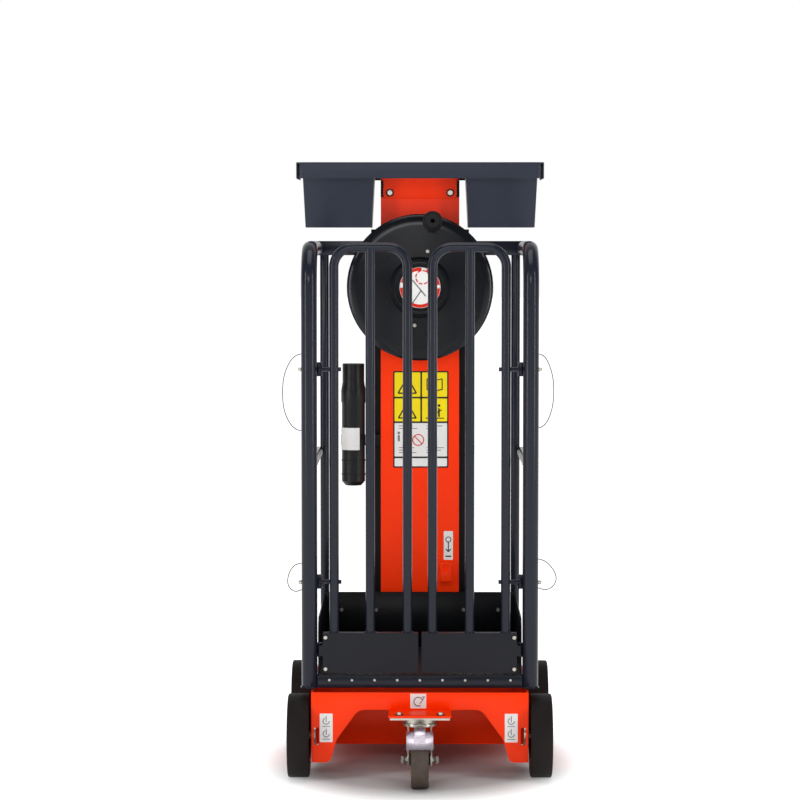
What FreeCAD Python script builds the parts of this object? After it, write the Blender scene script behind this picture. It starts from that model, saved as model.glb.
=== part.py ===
"""Manual lift platform: a crank-wound personnel lift on four wheels and a swivel castor.

Millimetres, +X to the machine's right, +Y from the gates towards the mast, +Z up.
The origin is on the floor, in the middle of the machine's footprint.
"""
import FreeCAD
import Part
import math
import os

import Sketcher

doc = FreeCAD.newDocument("LiftPlatform")

# Driving dimensions
# name, millimetres (or degrees where the name says angle)
SIZES = [
    # wheels and axles
    ("wheel_radius", 111),
    ("wheel_width", 57),
    ("rim_radius", 66),
    ("rim_width", 43),
    ("rim_lip", 6),
    ("axle_radius", 10),
    ("axle_flange_radius", 30),
    ("axle_flange_thick", 6),
    ("axle_cap_radius", 15),
    ("axle_cap_thick", 5),
    ("wheel_side_gap", 1),
    ("front_axle_y", -226),
    ("rear_axle_y", 338),
    ("front_wheel_reach", 63.5),
    ("rear_wheel_reach", 78.5),
    ("pin_clearance", 0.3),
    # chassis
    ("chassis_half_width", 286.5),
    ("chassis_front_y", -288),
    ("chassis_back_y", 440),
    ("chassis_top", 236),
    ("chassis_low", 50),
    ("plate_thick", 4),
    ("portal_web_low", 190),
    ("portal_shoulder_width", 124.5),
    ("portal_knee_width", 67.5),
    ("portal_knee_height", 112),
    ("portal_foot_width", 48.5),
    ("portal_round", 30),
    ("portal_foot_round", 16),
    ("lashing_slot_edge", 6.5),
    ("lashing_slot_width", 14),
    ("lashing_slot_round", 4),
    ("lashing_slot_low", 96),
    ("lashing_slot_high", 143),
    ("cross_panel_y", -30),
    ("cross_panel_top", 226),
    ("floor_thick", 6),
    ("side_notch_depth", 40),
    # castor
    ("castor_radius", 75),
    ("castor_width", 46),
    ("castor_rim_radius", 52),
    ("castor_axis_y", -320),
    ("castor_trail", 54),
    ("castor_plate_half", 78),
    ("castor_plate_low", 178),
    ("castor_plate_thick", 6),
    ("castor_flange_thick", 6),
    ("castor_race_radius", 43),
    ("castor_fork_half", 46),
    ("castor_fork_axle_half", 32),
    ("castor_fork_thick", 4),
    ("castor_fork_length", 78),
    ("castor_crown_low", 157),
    ("castor_crown_thick", 7),
    ("castor_pin_radius", 8),
    ("castor_axle_radius", 6),
    ("castor_eye_radius", 15),
    ("brake_gap", 6),
    ("brake_thick", 3),
    ("brake_pad_half", 14.5),
    ("brake_pad_top", 165),
    # mast
    ("mast_half_width", 130),
    ("mast_front_y", 328),
    ("mast_back_y", 436),
    ("mast_wall", 5),
    ("mast_lip", 30),
    ("stage_gap", 6),
    ("stage_top_step", 10),
    ("stage_bottom_step", 12),
    ("slide_pad_height", 90),
    ("slide_pad_length", 40),
    ("collar_height", 20),
    ("collar_wall", 9),
    # carriage and winch
    ("cover_half_width", 111),
    ("cover_y", 294),
    ("cover_depth", 27),
    ("cover_thick", 3),
    ("cover_low", 245),
    ("cover_drop", 43),
    ("spine_half_width", 78),
    ("crank_drop", 130),
    ("winch_radius", 74),
    ("winch_front_y", 256),
    ("crank_shaft_radius", 12),
    ("disc_radius", 205.5),
    ("disc_back_y", 250),
    ("disc_depth", 34),
    ("disc_wall", 3),
    ("hub_collar_radius", 84),
    ("hub_collar_depth", 22),
    ("hub_face_radius", 62),
    ("grip_orbit", 189),
    ("grip_side", 35),
    ("grip_radius", 18.5),
    ("grip_flange_radius", 28),
    ("grip_length", 80),
    # platform
    ("deck_half_width", 271),
    ("deck_front_y", -248),
    ("deck_low", 242),
    ("deck_top", 274),
    ("deck_plate_thick", 4),
    ("deck_rail_width", 40),
    ("deck_rail_thick", 4),
    ("post_radius", 21),
    ("post_x", 292.5),
    ("post_y", -236),
    ("post_low", 241),
    ("guard_top", 1424),
    ("hoop_bend", 95),
    ("back_rail_height", 40),
    ("back_rail_depth", 30),
    ("bar_radius", 12.5),
    ("upright_x", 270),
    ("upright_y", 279),
    ("side_rail_x", 286),
    ("side_rail_height", 830),
    ("toe_board_back_y", 262),
    ("toe_board_back_top", 430),
    ("toe_board_side_top", 424),
    ("toe_board_thick", 3),
    ("toe_board_round", 45),
    # gates
    ("gate_bar_outer", 227),
    ("gate_bar_middle", 131.5),
    ("gate_bar_inner", 33),
    ("gate_bend", 52),
    ("gate_drop", 4),
    ("kick_plate_low", 282),
    ("kick_plate_high", 388),
    ("kick_plate_outer", 257),
    ("kick_plate_inner", 4.5),
    ("kick_plate_thick", 3),
    ("hinge_x", 267),
    ("hinge_y", -222),
    ("hinge_pin_radius", 4),
    ("hinge_barrel_radius", 7.5),
    ("hinge_barrel_height", 26),
    ("hinge_end_gap", 0.5),
    ("hinge_lug_thick", 5),
    ("hinge_upper_height", 1086),
    ("hinge_lower_height", 522),
    ("hinge_kick_height", 340),
    ("arm_radius", 5.5),
    ("arm_inner_x", 208),
    ("release_pin_radius", 5),
    ("release_pin_reach", 8),
    ("lanyard_radius", 1.25),
    ("lanyard_seat", 0.7),
    # tray
    ("tray_half_width", 346),
    ("tray_front_y", 185),
    ("tray_back_y", 440),
    ("tray_rise", 219),
    ("tray_skirt", 45),
    ("tray_wall", 3),
    ("tray_round", 22),
    ("bin_inner", 127),
    ("bin_outer", 330),
    ("bin_taper", 9),
    ("bin_front_y", 222),
    ("bin_back_y", 418),
    ("bin_depth", 181),
    ("bin_clearance", 5),
    ("tray_bracket_half", 106),
    ("tray_bracket_height", 99),
    ("tray_bracket_thick", 4),
    # document tube and anchor
    ("document_x", -189),
    ("document_y", 300),
    ("document_radius", 35),
    ("document_low", 731),
    ("document_length", 346),
    ("document_collar_rise", 254),
    ("document_neck_radius", 31),
    ("document_bracket_rise", 129),
    ("anchor_x", 73),
    ("anchor_low", 447),
    ("anchor_high", 512),
    ("anchor_half_width", 16),
    ("anchor_thick", 6),
    ("anchor_stand_off", 26),
    ("anchor_hole_radius", 9),
]

# Places that follow from others: the chassis sets its portal and the wheels, the guard's top sets the
# crank, the gates, the tray and the mast, the document tube's low end sets its collar and bracket
# name, formula
TIED = [
    ("portal_cut_half", "=chassis_half_width - portal_shoulder_width"),
    ("portal_knee_half", "=chassis_half_width - portal_knee_width"),
    ("portal_foot_half", "=chassis_half_width - portal_foot_width"),
    ("lashing_slot_outer", "=chassis_half_width - lashing_slot_edge"),
    ("lashing_slot_inner", "=lashing_slot_outer - lashing_slot_width"),
    ("front_wheel_face", "=chassis_half_width + front_wheel_reach"),
    ("rear_wheel_face", "=chassis_half_width + rear_wheel_reach"),
    ("back_rail_low", "=guard_top - back_rail_height"),
    ("gate_top", "=guard_top - gate_drop"),
    ("crank_height", "=guard_top - crank_drop"),
    ("tray_top", "=guard_top + tray_rise"),
    ("tray_bracket_low", "=tray_top - tray_bracket_height"),
    ("cover_top", "=tray_top - cover_drop"),
    ("bin_bottom", "=tray_top - bin_depth"),
    ("mast_top", "=bin_bottom - bin_clearance"),
    ("document_high", "=document_low + document_length"),
    ("document_collar_height", "=document_low + document_collar_rise"),
    ("document_bracket_height", "=document_low + document_bracket_rise"),
]

sheet = doc.addObject("Spreadsheet::Sheet", "Sizes")
for row, (alias, number) in enumerate(SIZES + TIED, start=1):
    sheet.set(f"A{row}", alias)
    sheet.set(f"B{row}", str(number))
    sheet.setAlias(f"B{row}", alias)
doc.recompute()


class Size:
    """A number together with the spreadsheet formula that gives it."""

    def __init__(self, number, formula):
        self.number = float(number)
        self.formula = formula

    def __add__(self, other):
        other = as_size(other)
        return Size(self.number + other.number, f"({self.formula} + {other.formula})")

    def __sub__(self, other):
        other = as_size(other)
        return Size(self.number - other.number, f"({self.formula} - {other.formula})")

    def __mul__(self, factor):
        return Size(self.number * factor, f"({self.formula} * {factor})")

    def __neg__(self):
        return self * -1

    __rmul__ = __mul__

    def __radd__(self, other):
        return as_size(other) + self

    def __rsub__(self, other):
        return as_size(other) - self


def as_size(value):
    """A plain number as a Size, a Size as it is."""
    return value if isinstance(value, Size) else Size(value, f"{value}")


class Sizes:
    """The spreadsheet's cells by name."""

    def __getattr__(self, alias):
        return Size(sheet.get(alias), f"Sizes.{alias}")


size = Sizes()
nodes = []


def bind(thing, **settings):
    """Set properties of an object from Sizes; a double underscore stands for a dot."""
    for name, value in settings.items():
        thing.setExpression(name.replace("__", "."), as_size(value).formula)


def place(thing, x=0, y=0, z=0, rotation=None):
    """Put an object at a point given by Sizes."""
    thing.Placement = FreeCAD.Placement(FreeCAD.Vector(0, 0, 0), rotation or FreeCAD.Rotation())
    bind(thing, Placement__Base__x=x, Placement__Base__y=y, Placement__Base__z=z)
    return thing


def node(name, thing):
    """Name a finished sub-part and keep it for the export."""
    thing.Label = name
    nodes.append((name, thing))
    return thing


def box(name, x, y, z):
    """A block between two values along each axis."""
    block = doc.addObject("Part::Box", name)
    bind(block, Length=as_size(x[1]) - x[0], Width=as_size(y[1]) - y[0], Height=as_size(z[1]) - z[0])
    return place(block, x[0], y[0], z[0])


TURN = {
    "X": FreeCAD.Rotation(FreeCAD.Vector(0, 1, 0), 90),
    "Y": FreeCAD.Rotation(FreeCAD.Vector(1, 0, 0), -90),
    "Z": FreeCAD.Rotation(),
}


def cylinder(name, axis, radius, start, end, x=0, y=0, z=0):
    """A round bar along an axis from start to end; the other two values place its centre line."""
    bar = doc.addObject("Part::Cylinder", name)
    bind(bar, Radius=radius, Height=as_size(end) - start)
    centre = {"X": x, "Y": y, "Z": z, axis: start}
    return place(bar, centre["X"], centre["Y"], centre["Z"], TURN[axis])


def fuse(name, pieces):
    """Join overlapping pieces into one."""
    joined = doc.addObject("Part::MultiFuse", name)
    joined.Shapes = pieces
    joined.Refine = True
    return joined


def group(name, pieces):
    """Keep pieces that don't touch as one sub-part."""
    together = doc.addObject("Part::Compound", name)
    together.Links = pieces
    return together


def cut(name, base, tools):
    """Take the tools away from the base."""
    result = doc.addObject("Part::Cut", name)
    result.Base = base
    result.Tool = tools[0] if len(tools) == 1 else fuse(f"{name} tools", tools)
    return result


def plane_of(body, role):
    """A body's own origin plane."""
    return [item for item in body.Origin.OriginFeatures if item.Role == role][0]


def outline(body, role, offset, corners):
    """A closed sketch through corners given as pairs of Sizes."""
    sketch = body.newObject("Sketcher::SketchObject", f"{body.Name}Outline")
    sketch.AttachmentSupport = [(plane_of(body, role), "")]
    sketch.MapMode = "FlatFace"
    bind(sketch, AttachmentOffset__Base__z=offset)
    corners = [(as_size(across), as_size(up)) for across, up in corners]
    points = [FreeCAD.Vector(across.number, up.number, 0) for across, up in corners]
    count = len(points)
    for index in range(count):
        sketch.addGeometry(Part.LineSegment(points[index], points[(index + 1) % count]), False)
    for index in range(count):
        sketch.addConstraint(Sketcher.Constraint("Coincident", index, 2, (index + 1) % count, 1))
    for index, (across, up) in enumerate(corners):
        for kind, value in (("DistanceX", across), ("DistanceY", up)):
            number = sketch.addConstraint(Sketcher.Constraint(kind, -1, 1, index, 1, value.number))
            if "Sizes" in value.formula:
                sketch.setExpression(f"Constraints[{number}]", value.formula)
    return sketch


PLANES = {"X": ("YZ_Plane", 1), "Y": ("XZ_Plane", -1), "Z": ("XY_Plane", 1)}


def prism(name, axis, start, end, corners):
    """An outline pushed along an axis from start to end."""
    role, sense = PLANES[axis]
    body = doc.addObject("PartDesign::Body", name)
    offset = as_size(start) if sense > 0 else -as_size(end)
    sketch = outline(body, role, offset, corners)
    pad = body.newObject("PartDesign::Pad", f"{body.Name}Pad")
    pad.Profile = sketch
    bind(pad, Length=as_size(end) - start)
    doc.recompute()
    return body


def round_edges(body, radius, chosen):
    """Fillet the edges of a body's tip whose middle point passes the test."""
    tip = body.Tip
    names = []
    for index, edge in enumerate(tip.Shape.Edges, start=1):
        middle = edge.valueAt((edge.FirstParameter + edge.LastParameter) / 2)
        if chosen(edge, middle):
            names.append(f"Edge{index}")
    fillet = body.newObject("PartDesign::Fillet", f"{body.Name}Round")
    fillet.Base = (tip, names)
    bind(fillet, Radius=radius)
    doc.recompute()
    return body


def revolved(name, axis, corners, x=0, y=0, z=0):
    """A half section turned about an axis; each corner is (along the axis, radius)."""
    body = doc.addObject("PartDesign::Body", name)
    if axis == "X":
        sketch = outline(body, "XY_Plane", 0, corners)
    elif axis == "Y":
        sketch = outline(body, "XY_Plane", 0, [(radius, along) for along, radius in corners])
    else:
        sketch = outline(body, "XZ_Plane", 0, [(radius, along) for along, radius in corners])
    turn = body.newObject("PartDesign::Revolution", f"{body.Name}Turn")
    turn.Profile = sketch
    turn.ReferenceAxis = (sketch, ["H_Axis" if axis == "X" else "V_Axis"])
    turn.Angle = 360
    place(body, x, y, z)
    doc.recompute()
    return body


def bent_tube(name, axis, level, radius, bend, corners):
    """A round tube that starts upright and has equal right-angle bends, in the plane across an axis."""
    role, sense = PLANES[axis]
    body = doc.addObject("PartDesign::Body", name)
    path = body.newObject("Sketcher::SketchObject", f"{body.Name}Path")
    path.AttachmentSupport = [(plane_of(body, role), "")]
    path.MapMode = "FlatFace"
    bind(path, AttachmentOffset__Base__z=as_size(level) * sense)
    corners = [(as_size(across), as_size(up)) for across, up in corners]
    points = [FreeCAD.Vector(across.number, up.number, 0) for across, up in corners]
    # each corner is cut back by the bend's radius, since all turns here are right angles
    ends = []
    for index, point in enumerate(points):
        near = []
        for neighbour in (points[index - 1] if index else None,
                          points[index + 1] if index + 1 < len(points) else None):
            if neighbour is None:
                continue
            toward = (neighbour - point).normalize()
            inner = 0 < index < len(points) - 1
            near.append(point + toward * (bend.number if inner else 0))
        ends.append(near)
    lines = []
    for index in range(len(points) - 1):
        lines.append(path.addGeometry(Part.LineSegment(ends[index][-1], ends[index + 1][0]), False))
    for index in range(1, len(points) - 1):
        start, finish = ends[index]
        centre = start + finish - points[index]
        first, last = (math.atan2(point.y - centre.y, point.x - centre.x) for point in (start, finish))
        turns_left = (last - first) % (2 * math.pi) < math.pi
        first, last = (first, last) if turns_left else (last, first)
        circle = Part.Circle(centre, FreeCAD.Vector(0, 0, 1), bend.number)
        arc = path.addGeometry(Part.ArcOfCircle(circle, first, last), False)
        near_end, far_end = (1, 2) if turns_left else (2, 1)
        path.addConstraint(Sketcher.Constraint("Tangent", lines[index - 1], 2, arc, near_end))
        path.addConstraint(Sketcher.Constraint("Tangent", lines[index], 1, arc, far_end))
        number = path.addConstraint(Sketcher.Constraint("Radius", arc, bend.number))
        path.setExpression(f"Constraints[{number}]", bend.formula)
    for index, line in enumerate(lines):
        upright = abs(points[index].x - points[index + 1].x) < 0.001
        path.addConstraint(Sketcher.Constraint("Vertical" if upright else "Horizontal", line))
        kind, value = ("DistanceX", corners[index][0]) if upright else ("DistanceY", corners[index][1])
        number = path.addConstraint(Sketcher.Constraint(kind, -1, 1, line, 1, value.number))
        path.setExpression(f"Constraints[{number}]", value.formula)
    for line, side, corner, other in ((lines[0], 1, corners[0], points[1]),
                                      (lines[-1], 2, corners[-1], points[-2])):
        upright = abs(corner[0].number - other.x) < 0.001
        kind, value = ("DistanceY", corner[1]) if upright else ("DistanceX", corner[0])
        number = path.addConstraint(Sketcher.Constraint(kind, -1, 1, line, side, value.number))
        path.setExpression(f"Constraints[{number}]", value.formula)
    doc.recompute()
    section = body.newObject("Sketcher::SketchObject", f"{body.Name}Section")
    section.AttachmentSupport = [(plane_of(body, "XY_Plane"), "")]
    section.MapMode = "FlatFace"
    bind(section, AttachmentOffset__Base__z=corners[0][1])
    along = corners[0][0]
    centre = (as_size(level), along) if axis == "X" else (along, as_size(level))
    middle = FreeCAD.Vector(centre[0].number, centre[1].number, 0)
    circle = section.addGeometry(Part.Circle(middle, FreeCAD.Vector(0, 0, 1), radius.number), False)
    for kind, value in (("DistanceX", centre[0]), ("DistanceY", centre[1])):
        number = section.addConstraint(Sketcher.Constraint(kind, -1, 1, circle, 3, value.number))
        section.setExpression(f"Constraints[{number}]", value.formula)
    number = section.addConstraint(Sketcher.Constraint("Radius", circle, radius.number))
    section.setExpression(f"Constraints[{number}]", radius.formula)
    doc.recompute()
    pipe = body.newObject("PartDesign::AdditivePipe", f"{body.Name}Pipe")
    pipe.Profile = section
    pipe.Spine = (path, [])
    doc.recompute()
    return body


def mirrored_pair(side, inner, outer):
    """The low and high X of a block that spans inner to outer on the given side."""
    return (side * inner, side * outer) if side > 0 else (side * outer, side * inner)


SIDES = (("left", -1), ("right", 1))


# Wheels: a rubber tyre on a dished rim, free on a stub axle
def wheel(place_name, side, face, axle_y):
    """The tyre and rim of one wheel; face is the distance of its outer side from the middle."""
    centre = side * (face - size.wheel_width * 0.5)
    half = size.wheel_width * 0.5
    tyre = revolved(f"tyre {place_name}", "X", [
        (-half, size.rim_radius), (half, size.rim_radius),
        (half, size.wheel_radius), (-half, size.wheel_radius),
    ], centre, axle_y, size.wheel_radius)
    bore = size.axle_radius + size.pin_clearance
    rim_half = size.rim_width * 0.5
    lip = size.rim_radius - size.rim_lip
    rim = revolved(f"rim {place_name}", "X", [
        (-rim_half, bore), (rim_half, bore), (rim_half, lip), (half, lip), (half, size.rim_radius),
        (-half, size.rim_radius), (-half, lip), (-rim_half, lip),
    ], centre, axle_y, size.wheel_radius)
    node(f"tyre_{place_name}", tyre)
    node(f"rim_{place_name}", rim)


WHEELS = [
    # name, side, outer face, axle
    ("front_left", -1, size.front_wheel_face, size.front_axle_y),
    ("front_right", 1, size.front_wheel_face, size.front_axle_y),
    ("rear_left", -1, size.rear_wheel_face, size.rear_axle_y),
    ("rear_right", 1, size.rear_wheel_face, size.rear_axle_y),
]
for place_name, side, face, axle_y in WHEELS:
    wheel(place_name, side, face, axle_y)


def stub_axle(place_name, side, face, axle_y):
    """A flanged stub through the side plate with a cap that keeps the wheel on."""
    flange_end = size.chassis_half_width - size.plate_thick
    cap_start = face - (size.wheel_width - size.rim_width) * 0.5 + size.wheel_side_gap
    pieces = []
    for name, radius, inner, outer in (
        ("flange", size.axle_flange_radius, flange_end - size.axle_flange_thick, flange_end),
        ("shaft", size.axle_radius, flange_end - size.axle_flange_thick, cap_start + size.axle_cap_thick),
        ("cap", size.axle_cap_radius, cap_start, cap_start + size.axle_cap_thick),
    ):
        start, end = mirrored_pair(side, inner, outer)
        pieces.append(cylinder(f"axle {name} {place_name}", "X", radius, start, end,
                               y=axle_y, z=size.wheel_radius))
    return fuse(f"axle {place_name}", pieces)


for end_name in ("front", "rear"):
    axles = [stub_axle(*row) for row in WHEELS if row[0].startswith(end_name)]
    node(f"stub_axles_{end_name}", group(f"{end_name} axles", axles))


# Chassis: a folded portal in front, two side plates, a cross panel, a floor and a back panel
def chassis_portal():
    """The front portal panel with its arched cut-out and lashing slots."""
    half = size.chassis_half_width
    panel = prism("portal panel", "Y", size.chassis_front_y, size.chassis_front_y + size.plate_thick, [
        (-half, size.chassis_low), (-size.portal_foot_half, size.chassis_low),
        (-size.portal_knee_half, size.portal_knee_height), (-size.portal_cut_half, size.portal_web_low),
        (size.portal_cut_half, size.portal_web_low), (size.portal_knee_half, size.portal_knee_height),
        (size.portal_foot_half, size.chassis_low), (half, size.chassis_low),
        (half, size.chassis_top), (-half, size.chassis_top),
    ])
    corners = (size.portal_cut_half.number, size.portal_knee_half.number)
    round_edges(panel, size.portal_round, lambda edge, middle: any(
        abs(abs(middle.x) - corner) < 0.01 for corner in corners) and edge.Length < 10)
    foot = size.portal_foot_half.number
    round_edges(panel, size.portal_foot_round, lambda edge, middle: (
        abs(abs(middle.x) - foot) < 0.01 and abs(middle.z - size.chassis_low.number) < 0.01))
    slots = []
    for name, side in SIDES:
        inner, outer = mirrored_pair(side, size.lashing_slot_inner, size.lashing_slot_outer)
        low, high = size.lashing_slot_low, size.lashing_slot_high
        slot = prism(f"lashing slot {name}", "Y", size.chassis_front_y - 1,
                     size.chassis_front_y + size.plate_thick + 1,
                     [(inner, low), (outer, low), (outer, high), (inner, high)])
        slots.append(round_edges(slot, size.lashing_slot_round, lambda edge, middle: (
            abs(edge.Vertexes[0].Y - edge.Vertexes[-1].Y) > 1)))
    return cut("portal with slots", panel, slots)


def chassis_side(name, side):
    """A side plate with holes for the stub axles and a cut-away back corner."""
    across = mirrored_pair(side, size.chassis_half_width - size.plate_thick, size.chassis_half_width)
    front = size.chassis_front_y + size.plate_thick
    plate = prism(f"side plate {name}", "X", across[0], across[1], [
        (front, size.chassis_low), (size.chassis_back_y, size.chassis_low),
        (size.chassis_back_y, size.chassis_top - size.side_notch_depth),
        (size.chassis_back_y - size.side_notch_depth, size.chassis_top),
        (front, size.chassis_top),
    ])
    holes = [cylinder(f"axle hole {name} {row[0]}", "X", size.axle_radius + size.pin_clearance,
                      across[0] - 1, across[1] + 1, y=row[3], z=size.wheel_radius)
             for row in WHEELS if row[1] == side]
    return cut(f"side plate {name} with holes", plate, holes)


node("chassis_portal", chassis_portal())
for name, side in SIDES:
    node(f"chassis_side_{name}", chassis_side(name, side))
inside = size.chassis_half_width - size.plate_thick
node("chassis_cross_panel", box("cross panel", (-inside, inside),
                                (size.cross_panel_y, size.cross_panel_y + size.plate_thick),
                                (size.chassis_low, size.cross_panel_top)))
floor_back = size.chassis_back_y - size.plate_thick
node("chassis_floor", box("floor plate", (-inside, inside),
                          (size.cross_panel_y + size.plate_thick, floor_back),
                          (size.chassis_low, size.chassis_low + size.floor_thick)))
node("chassis_back_panel", box("back panel", (-inside, inside), (floor_back, size.chassis_back_y),
                               (size.chassis_low, size.chassis_top - size.side_notch_depth)))

# Castor: a flange on the portal, a swivel fork with its brake, and the wheel
castor_flange_low = size.castor_plate_low + size.castor_plate_thick
plate_half = size.castor_plate_half
plate_y = (size.castor_axis_y - plate_half * 0.7, size.castor_axis_y + plate_half * 0.7)
node("castor_flange", box("castor flange", (-plate_half - 4, plate_half + 4),
                          (plate_y[0] - 3, size.chassis_front_y + size.plate_thick + 60),
                          (castor_flange_low, castor_flange_low + size.castor_flange_thick)))
race_low = size.castor_crown_low + size.castor_crown_thick + size.pin_clearance
node("castor_top_plate", fuse("castor plate and king pin", [
    box("castor plate", (-plate_half, plate_half), plate_y,
        (size.castor_plate_low, size.castor_plate_low + size.castor_plate_thick)),
    cylinder("castor race", "Z", size.castor_race_radius, race_low, size.castor_plate_low,
             y=size.castor_axis_y),
    cylinder("king pin", "Z", size.castor_pin_radius, size.castor_crown_low, size.castor_plate_low,
             y=size.castor_axis_y),
]))

castor_axle_y = size.castor_axis_y - size.castor_trail
castor_height = size.castor_radius
crown_top = size.castor_crown_low + size.castor_crown_thick
fork_back = size.castor_axis_y + size.castor_fork_length * 0.5
fork_front = size.castor_axis_y - size.castor_fork_length * 0.5
fork_pieces = []
for name, side in SIDES:
    across = mirrored_pair(side, size.castor_fork_axle_half - size.castor_fork_thick, size.castor_fork_axle_half)
    cheek = prism(f"fork cheek {name}", "X", across[0], across[1], [
        (fork_back, crown_top), (fork_front, crown_top),
        (castor_axle_y - size.castor_eye_radius, castor_height + 6),
        (castor_axle_y - size.castor_eye_radius * 0.6, castor_height - size.castor_eye_radius),
        (castor_axle_y + size.castor_eye_radius * 0.6, castor_height - size.castor_eye_radius),
        (castor_axle_y + size.castor_eye_radius, castor_height),
    ])
    fork_pieces.append(cheek)
fork_pieces.append(cylinder("fork crown", "Z", size.castor_fork_half, size.castor_crown_low, crown_top,
                            y=size.castor_axis_y))
axle_reach = size.castor_fork_axle_half + 8
fork_pieces.append(cylinder("castor axle", "X", size.castor_axle_radius, -axle_reach, axle_reach,
                            y=castor_axle_y, z=castor_height))
node("castor_fork", cut("fork with king pin hole", fuse("fork blank", fork_pieces), [
    cylinder("king pin hole", "Z", size.castor_pin_radius + size.pin_clearance,
             size.castor_crown_low - 1, crown_top + 1, y=size.castor_axis_y),
]))


def around_tyre(radius, angle):
    """A point beside the castor's tyre: radius from its axle, angle in degrees forward from straight up."""
    turn = math.radians(angle)
    return (castor_axle_y - radius * math.sin(turn), castor_height + radius * math.cos(turn))


# the brake is a hood that follows the tyre, with two ears on the fork's cheeks and a foot pad
hood_in = size.castor_radius + size.brake_gap
hood_out = hood_in + size.brake_thick
HOOD_ANGLES = (22, 36, 50, 62)
ear_out = size.castor_fork_axle_half + size.brake_thick
hood = prism("brake hood", "X", -ear_out, ear_out,
             [around_tyre(hood_out, angle) for angle in HOOD_ANGLES]
             + [around_tyre(hood_in, angle) for angle in reversed(HOOD_ANGLES)])
brake_pieces = [hood]
for name, side in SIDES:
    across = mirrored_pair(side, size.castor_fork_axle_half, ear_out)
    brake_pieces.append(prism(f"brake ear {name}", "X", across[0], across[1], [
        around_tyre(hood_out - 1, 22), (fork_front + 1, castor_height + 70),
        (castor_axle_y + 8, castor_height + 36), around_tyre(hood_in - 20, 50), around_tyre(hood_out - 1, 61),
        around_tyre(hood_out - 1, 50), around_tyre(hood_out - 1, 36),
    ]))
brake_pieces.append(prism("brake pad", "X", -size.brake_pad_half, size.brake_pad_half, [
    around_tyre(hood_out - 1, 48), around_tyre(hood_out - 1, 24),
    (castor_axle_y - 28, size.brake_pad_top), (castor_axle_y - 48, size.brake_pad_top),
    (castor_axle_y - 66, size.brake_pad_top - 14),
]))
node("castor_brake", fuse("castor brake", brake_pieces))

castor_half = size.castor_width * 0.5
node("castor_tyre", revolved("castor tyre", "X", [
    (-castor_half, size.castor_rim_radius), (castor_half, size.castor_rim_radius),
    (castor_half, size.castor_radius), (-castor_half, size.castor_radius),
], 0, castor_axle_y, castor_height))
castor_bore = size.castor_axle_radius + size.pin_clearance
castor_boss = castor_bore + 9
castor_web = castor_half - 4
castor_hub_half = size.castor_fork_axle_half - size.castor_fork_thick - size.wheel_side_gap
node("castor_rim", revolved("castor rim", "X", [
    (-castor_hub_half, castor_bore), (castor_hub_half, castor_bore), (castor_hub_half, castor_boss),
    (castor_web, castor_boss), (castor_web, size.castor_rim_radius), (-castor_web, size.castor_rim_radius),
    (-castor_web, castor_boss), (-castor_hub_half, castor_boss),
], 0, castor_axle_y, castor_height))


# Mast: a fixed channel, a middle channel and the carriage's hollow spine, each inside the last
def channel_corners(half, front, back, wall, lip):
    """A C-shaped section, open in front between two lips."""
    return [
        (-half, front), (lip - half, front), (lip - half, front + wall), (wall - half, front + wall),
        (wall - half, back - wall), (half - wall, back - wall), (half - wall, front + wall),
        (half - lip, front + wall), (half - lip, front), (half, front), (half, back), (-half, back),
    ]


wall = size.mast_wall
step = wall + size.stage_gap
mast_low = size.chassis_low + size.floor_thick
fixed_half = size.mast_half_width
fixed_front = size.mast_front_y
fixed_back = size.mast_back_y
middle_half = fixed_half - step
middle_front = fixed_front + step
middle_back = fixed_back - step
middle_low = mast_low + size.stage_bottom_step
middle_top = size.mast_top - size.stage_top_step
spine_half = middle_half - step
spine_front = middle_front + step
spine_back = middle_back - step
spine_low = middle_low + size.stage_bottom_step
spine_top = middle_top - size.stage_top_step

node("mast_fixed", prism("fixed mast", "Z", mast_low, size.mast_top,
                         channel_corners(fixed_half, fixed_front, fixed_back, wall, size.mast_lip)))
node("mast_middle", prism("middle mast", "Z", middle_low, middle_top,
                          channel_corners(middle_half, middle_front, middle_back, wall, size.mast_lip)))

collar_low = size.mast_top - size.collar_height
collar_half = fixed_half + size.collar_wall
collar_back = fixed_back + size.collar_wall
node("mast_collar", prism("mast collar", "Z", collar_low, size.mast_top, [
    (-collar_half, fixed_front), (-fixed_half, fixed_front), (-fixed_half, fixed_back),
    (fixed_half, fixed_back), (fixed_half, fixed_front), (collar_half, fixed_front),
    (collar_half, collar_back), (-collar_half, collar_back),
]))


def slide_pads(name, half, front, back, low):
    """Four flat pads that fill the gap between a channel's sides and the stage inside it."""
    pads = []
    clear = size.pin_clearance
    for side_name, side in SIDES:
        across = mirrored_pair(side, half + clear, half + size.stage_gap)
        for end, start in (("front", front), ("back", back - size.slide_pad_length)):
            pads.append(box(f"{name} pad {side_name} {end}", across,
                            (start, start + size.slide_pad_length), (low, low + size.slide_pad_height)))
    return group(f"{name} pads", pads)


pad_low = middle_top - size.slide_pad_height * 2
node("mast_pads_fixed", slide_pads("fixed", middle_half, middle_front, middle_back, pad_low))
node("mast_pads_middle", slide_pads("middle", spine_half, spine_front, spine_back,
                                    pad_low - size.stage_top_step))

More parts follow.
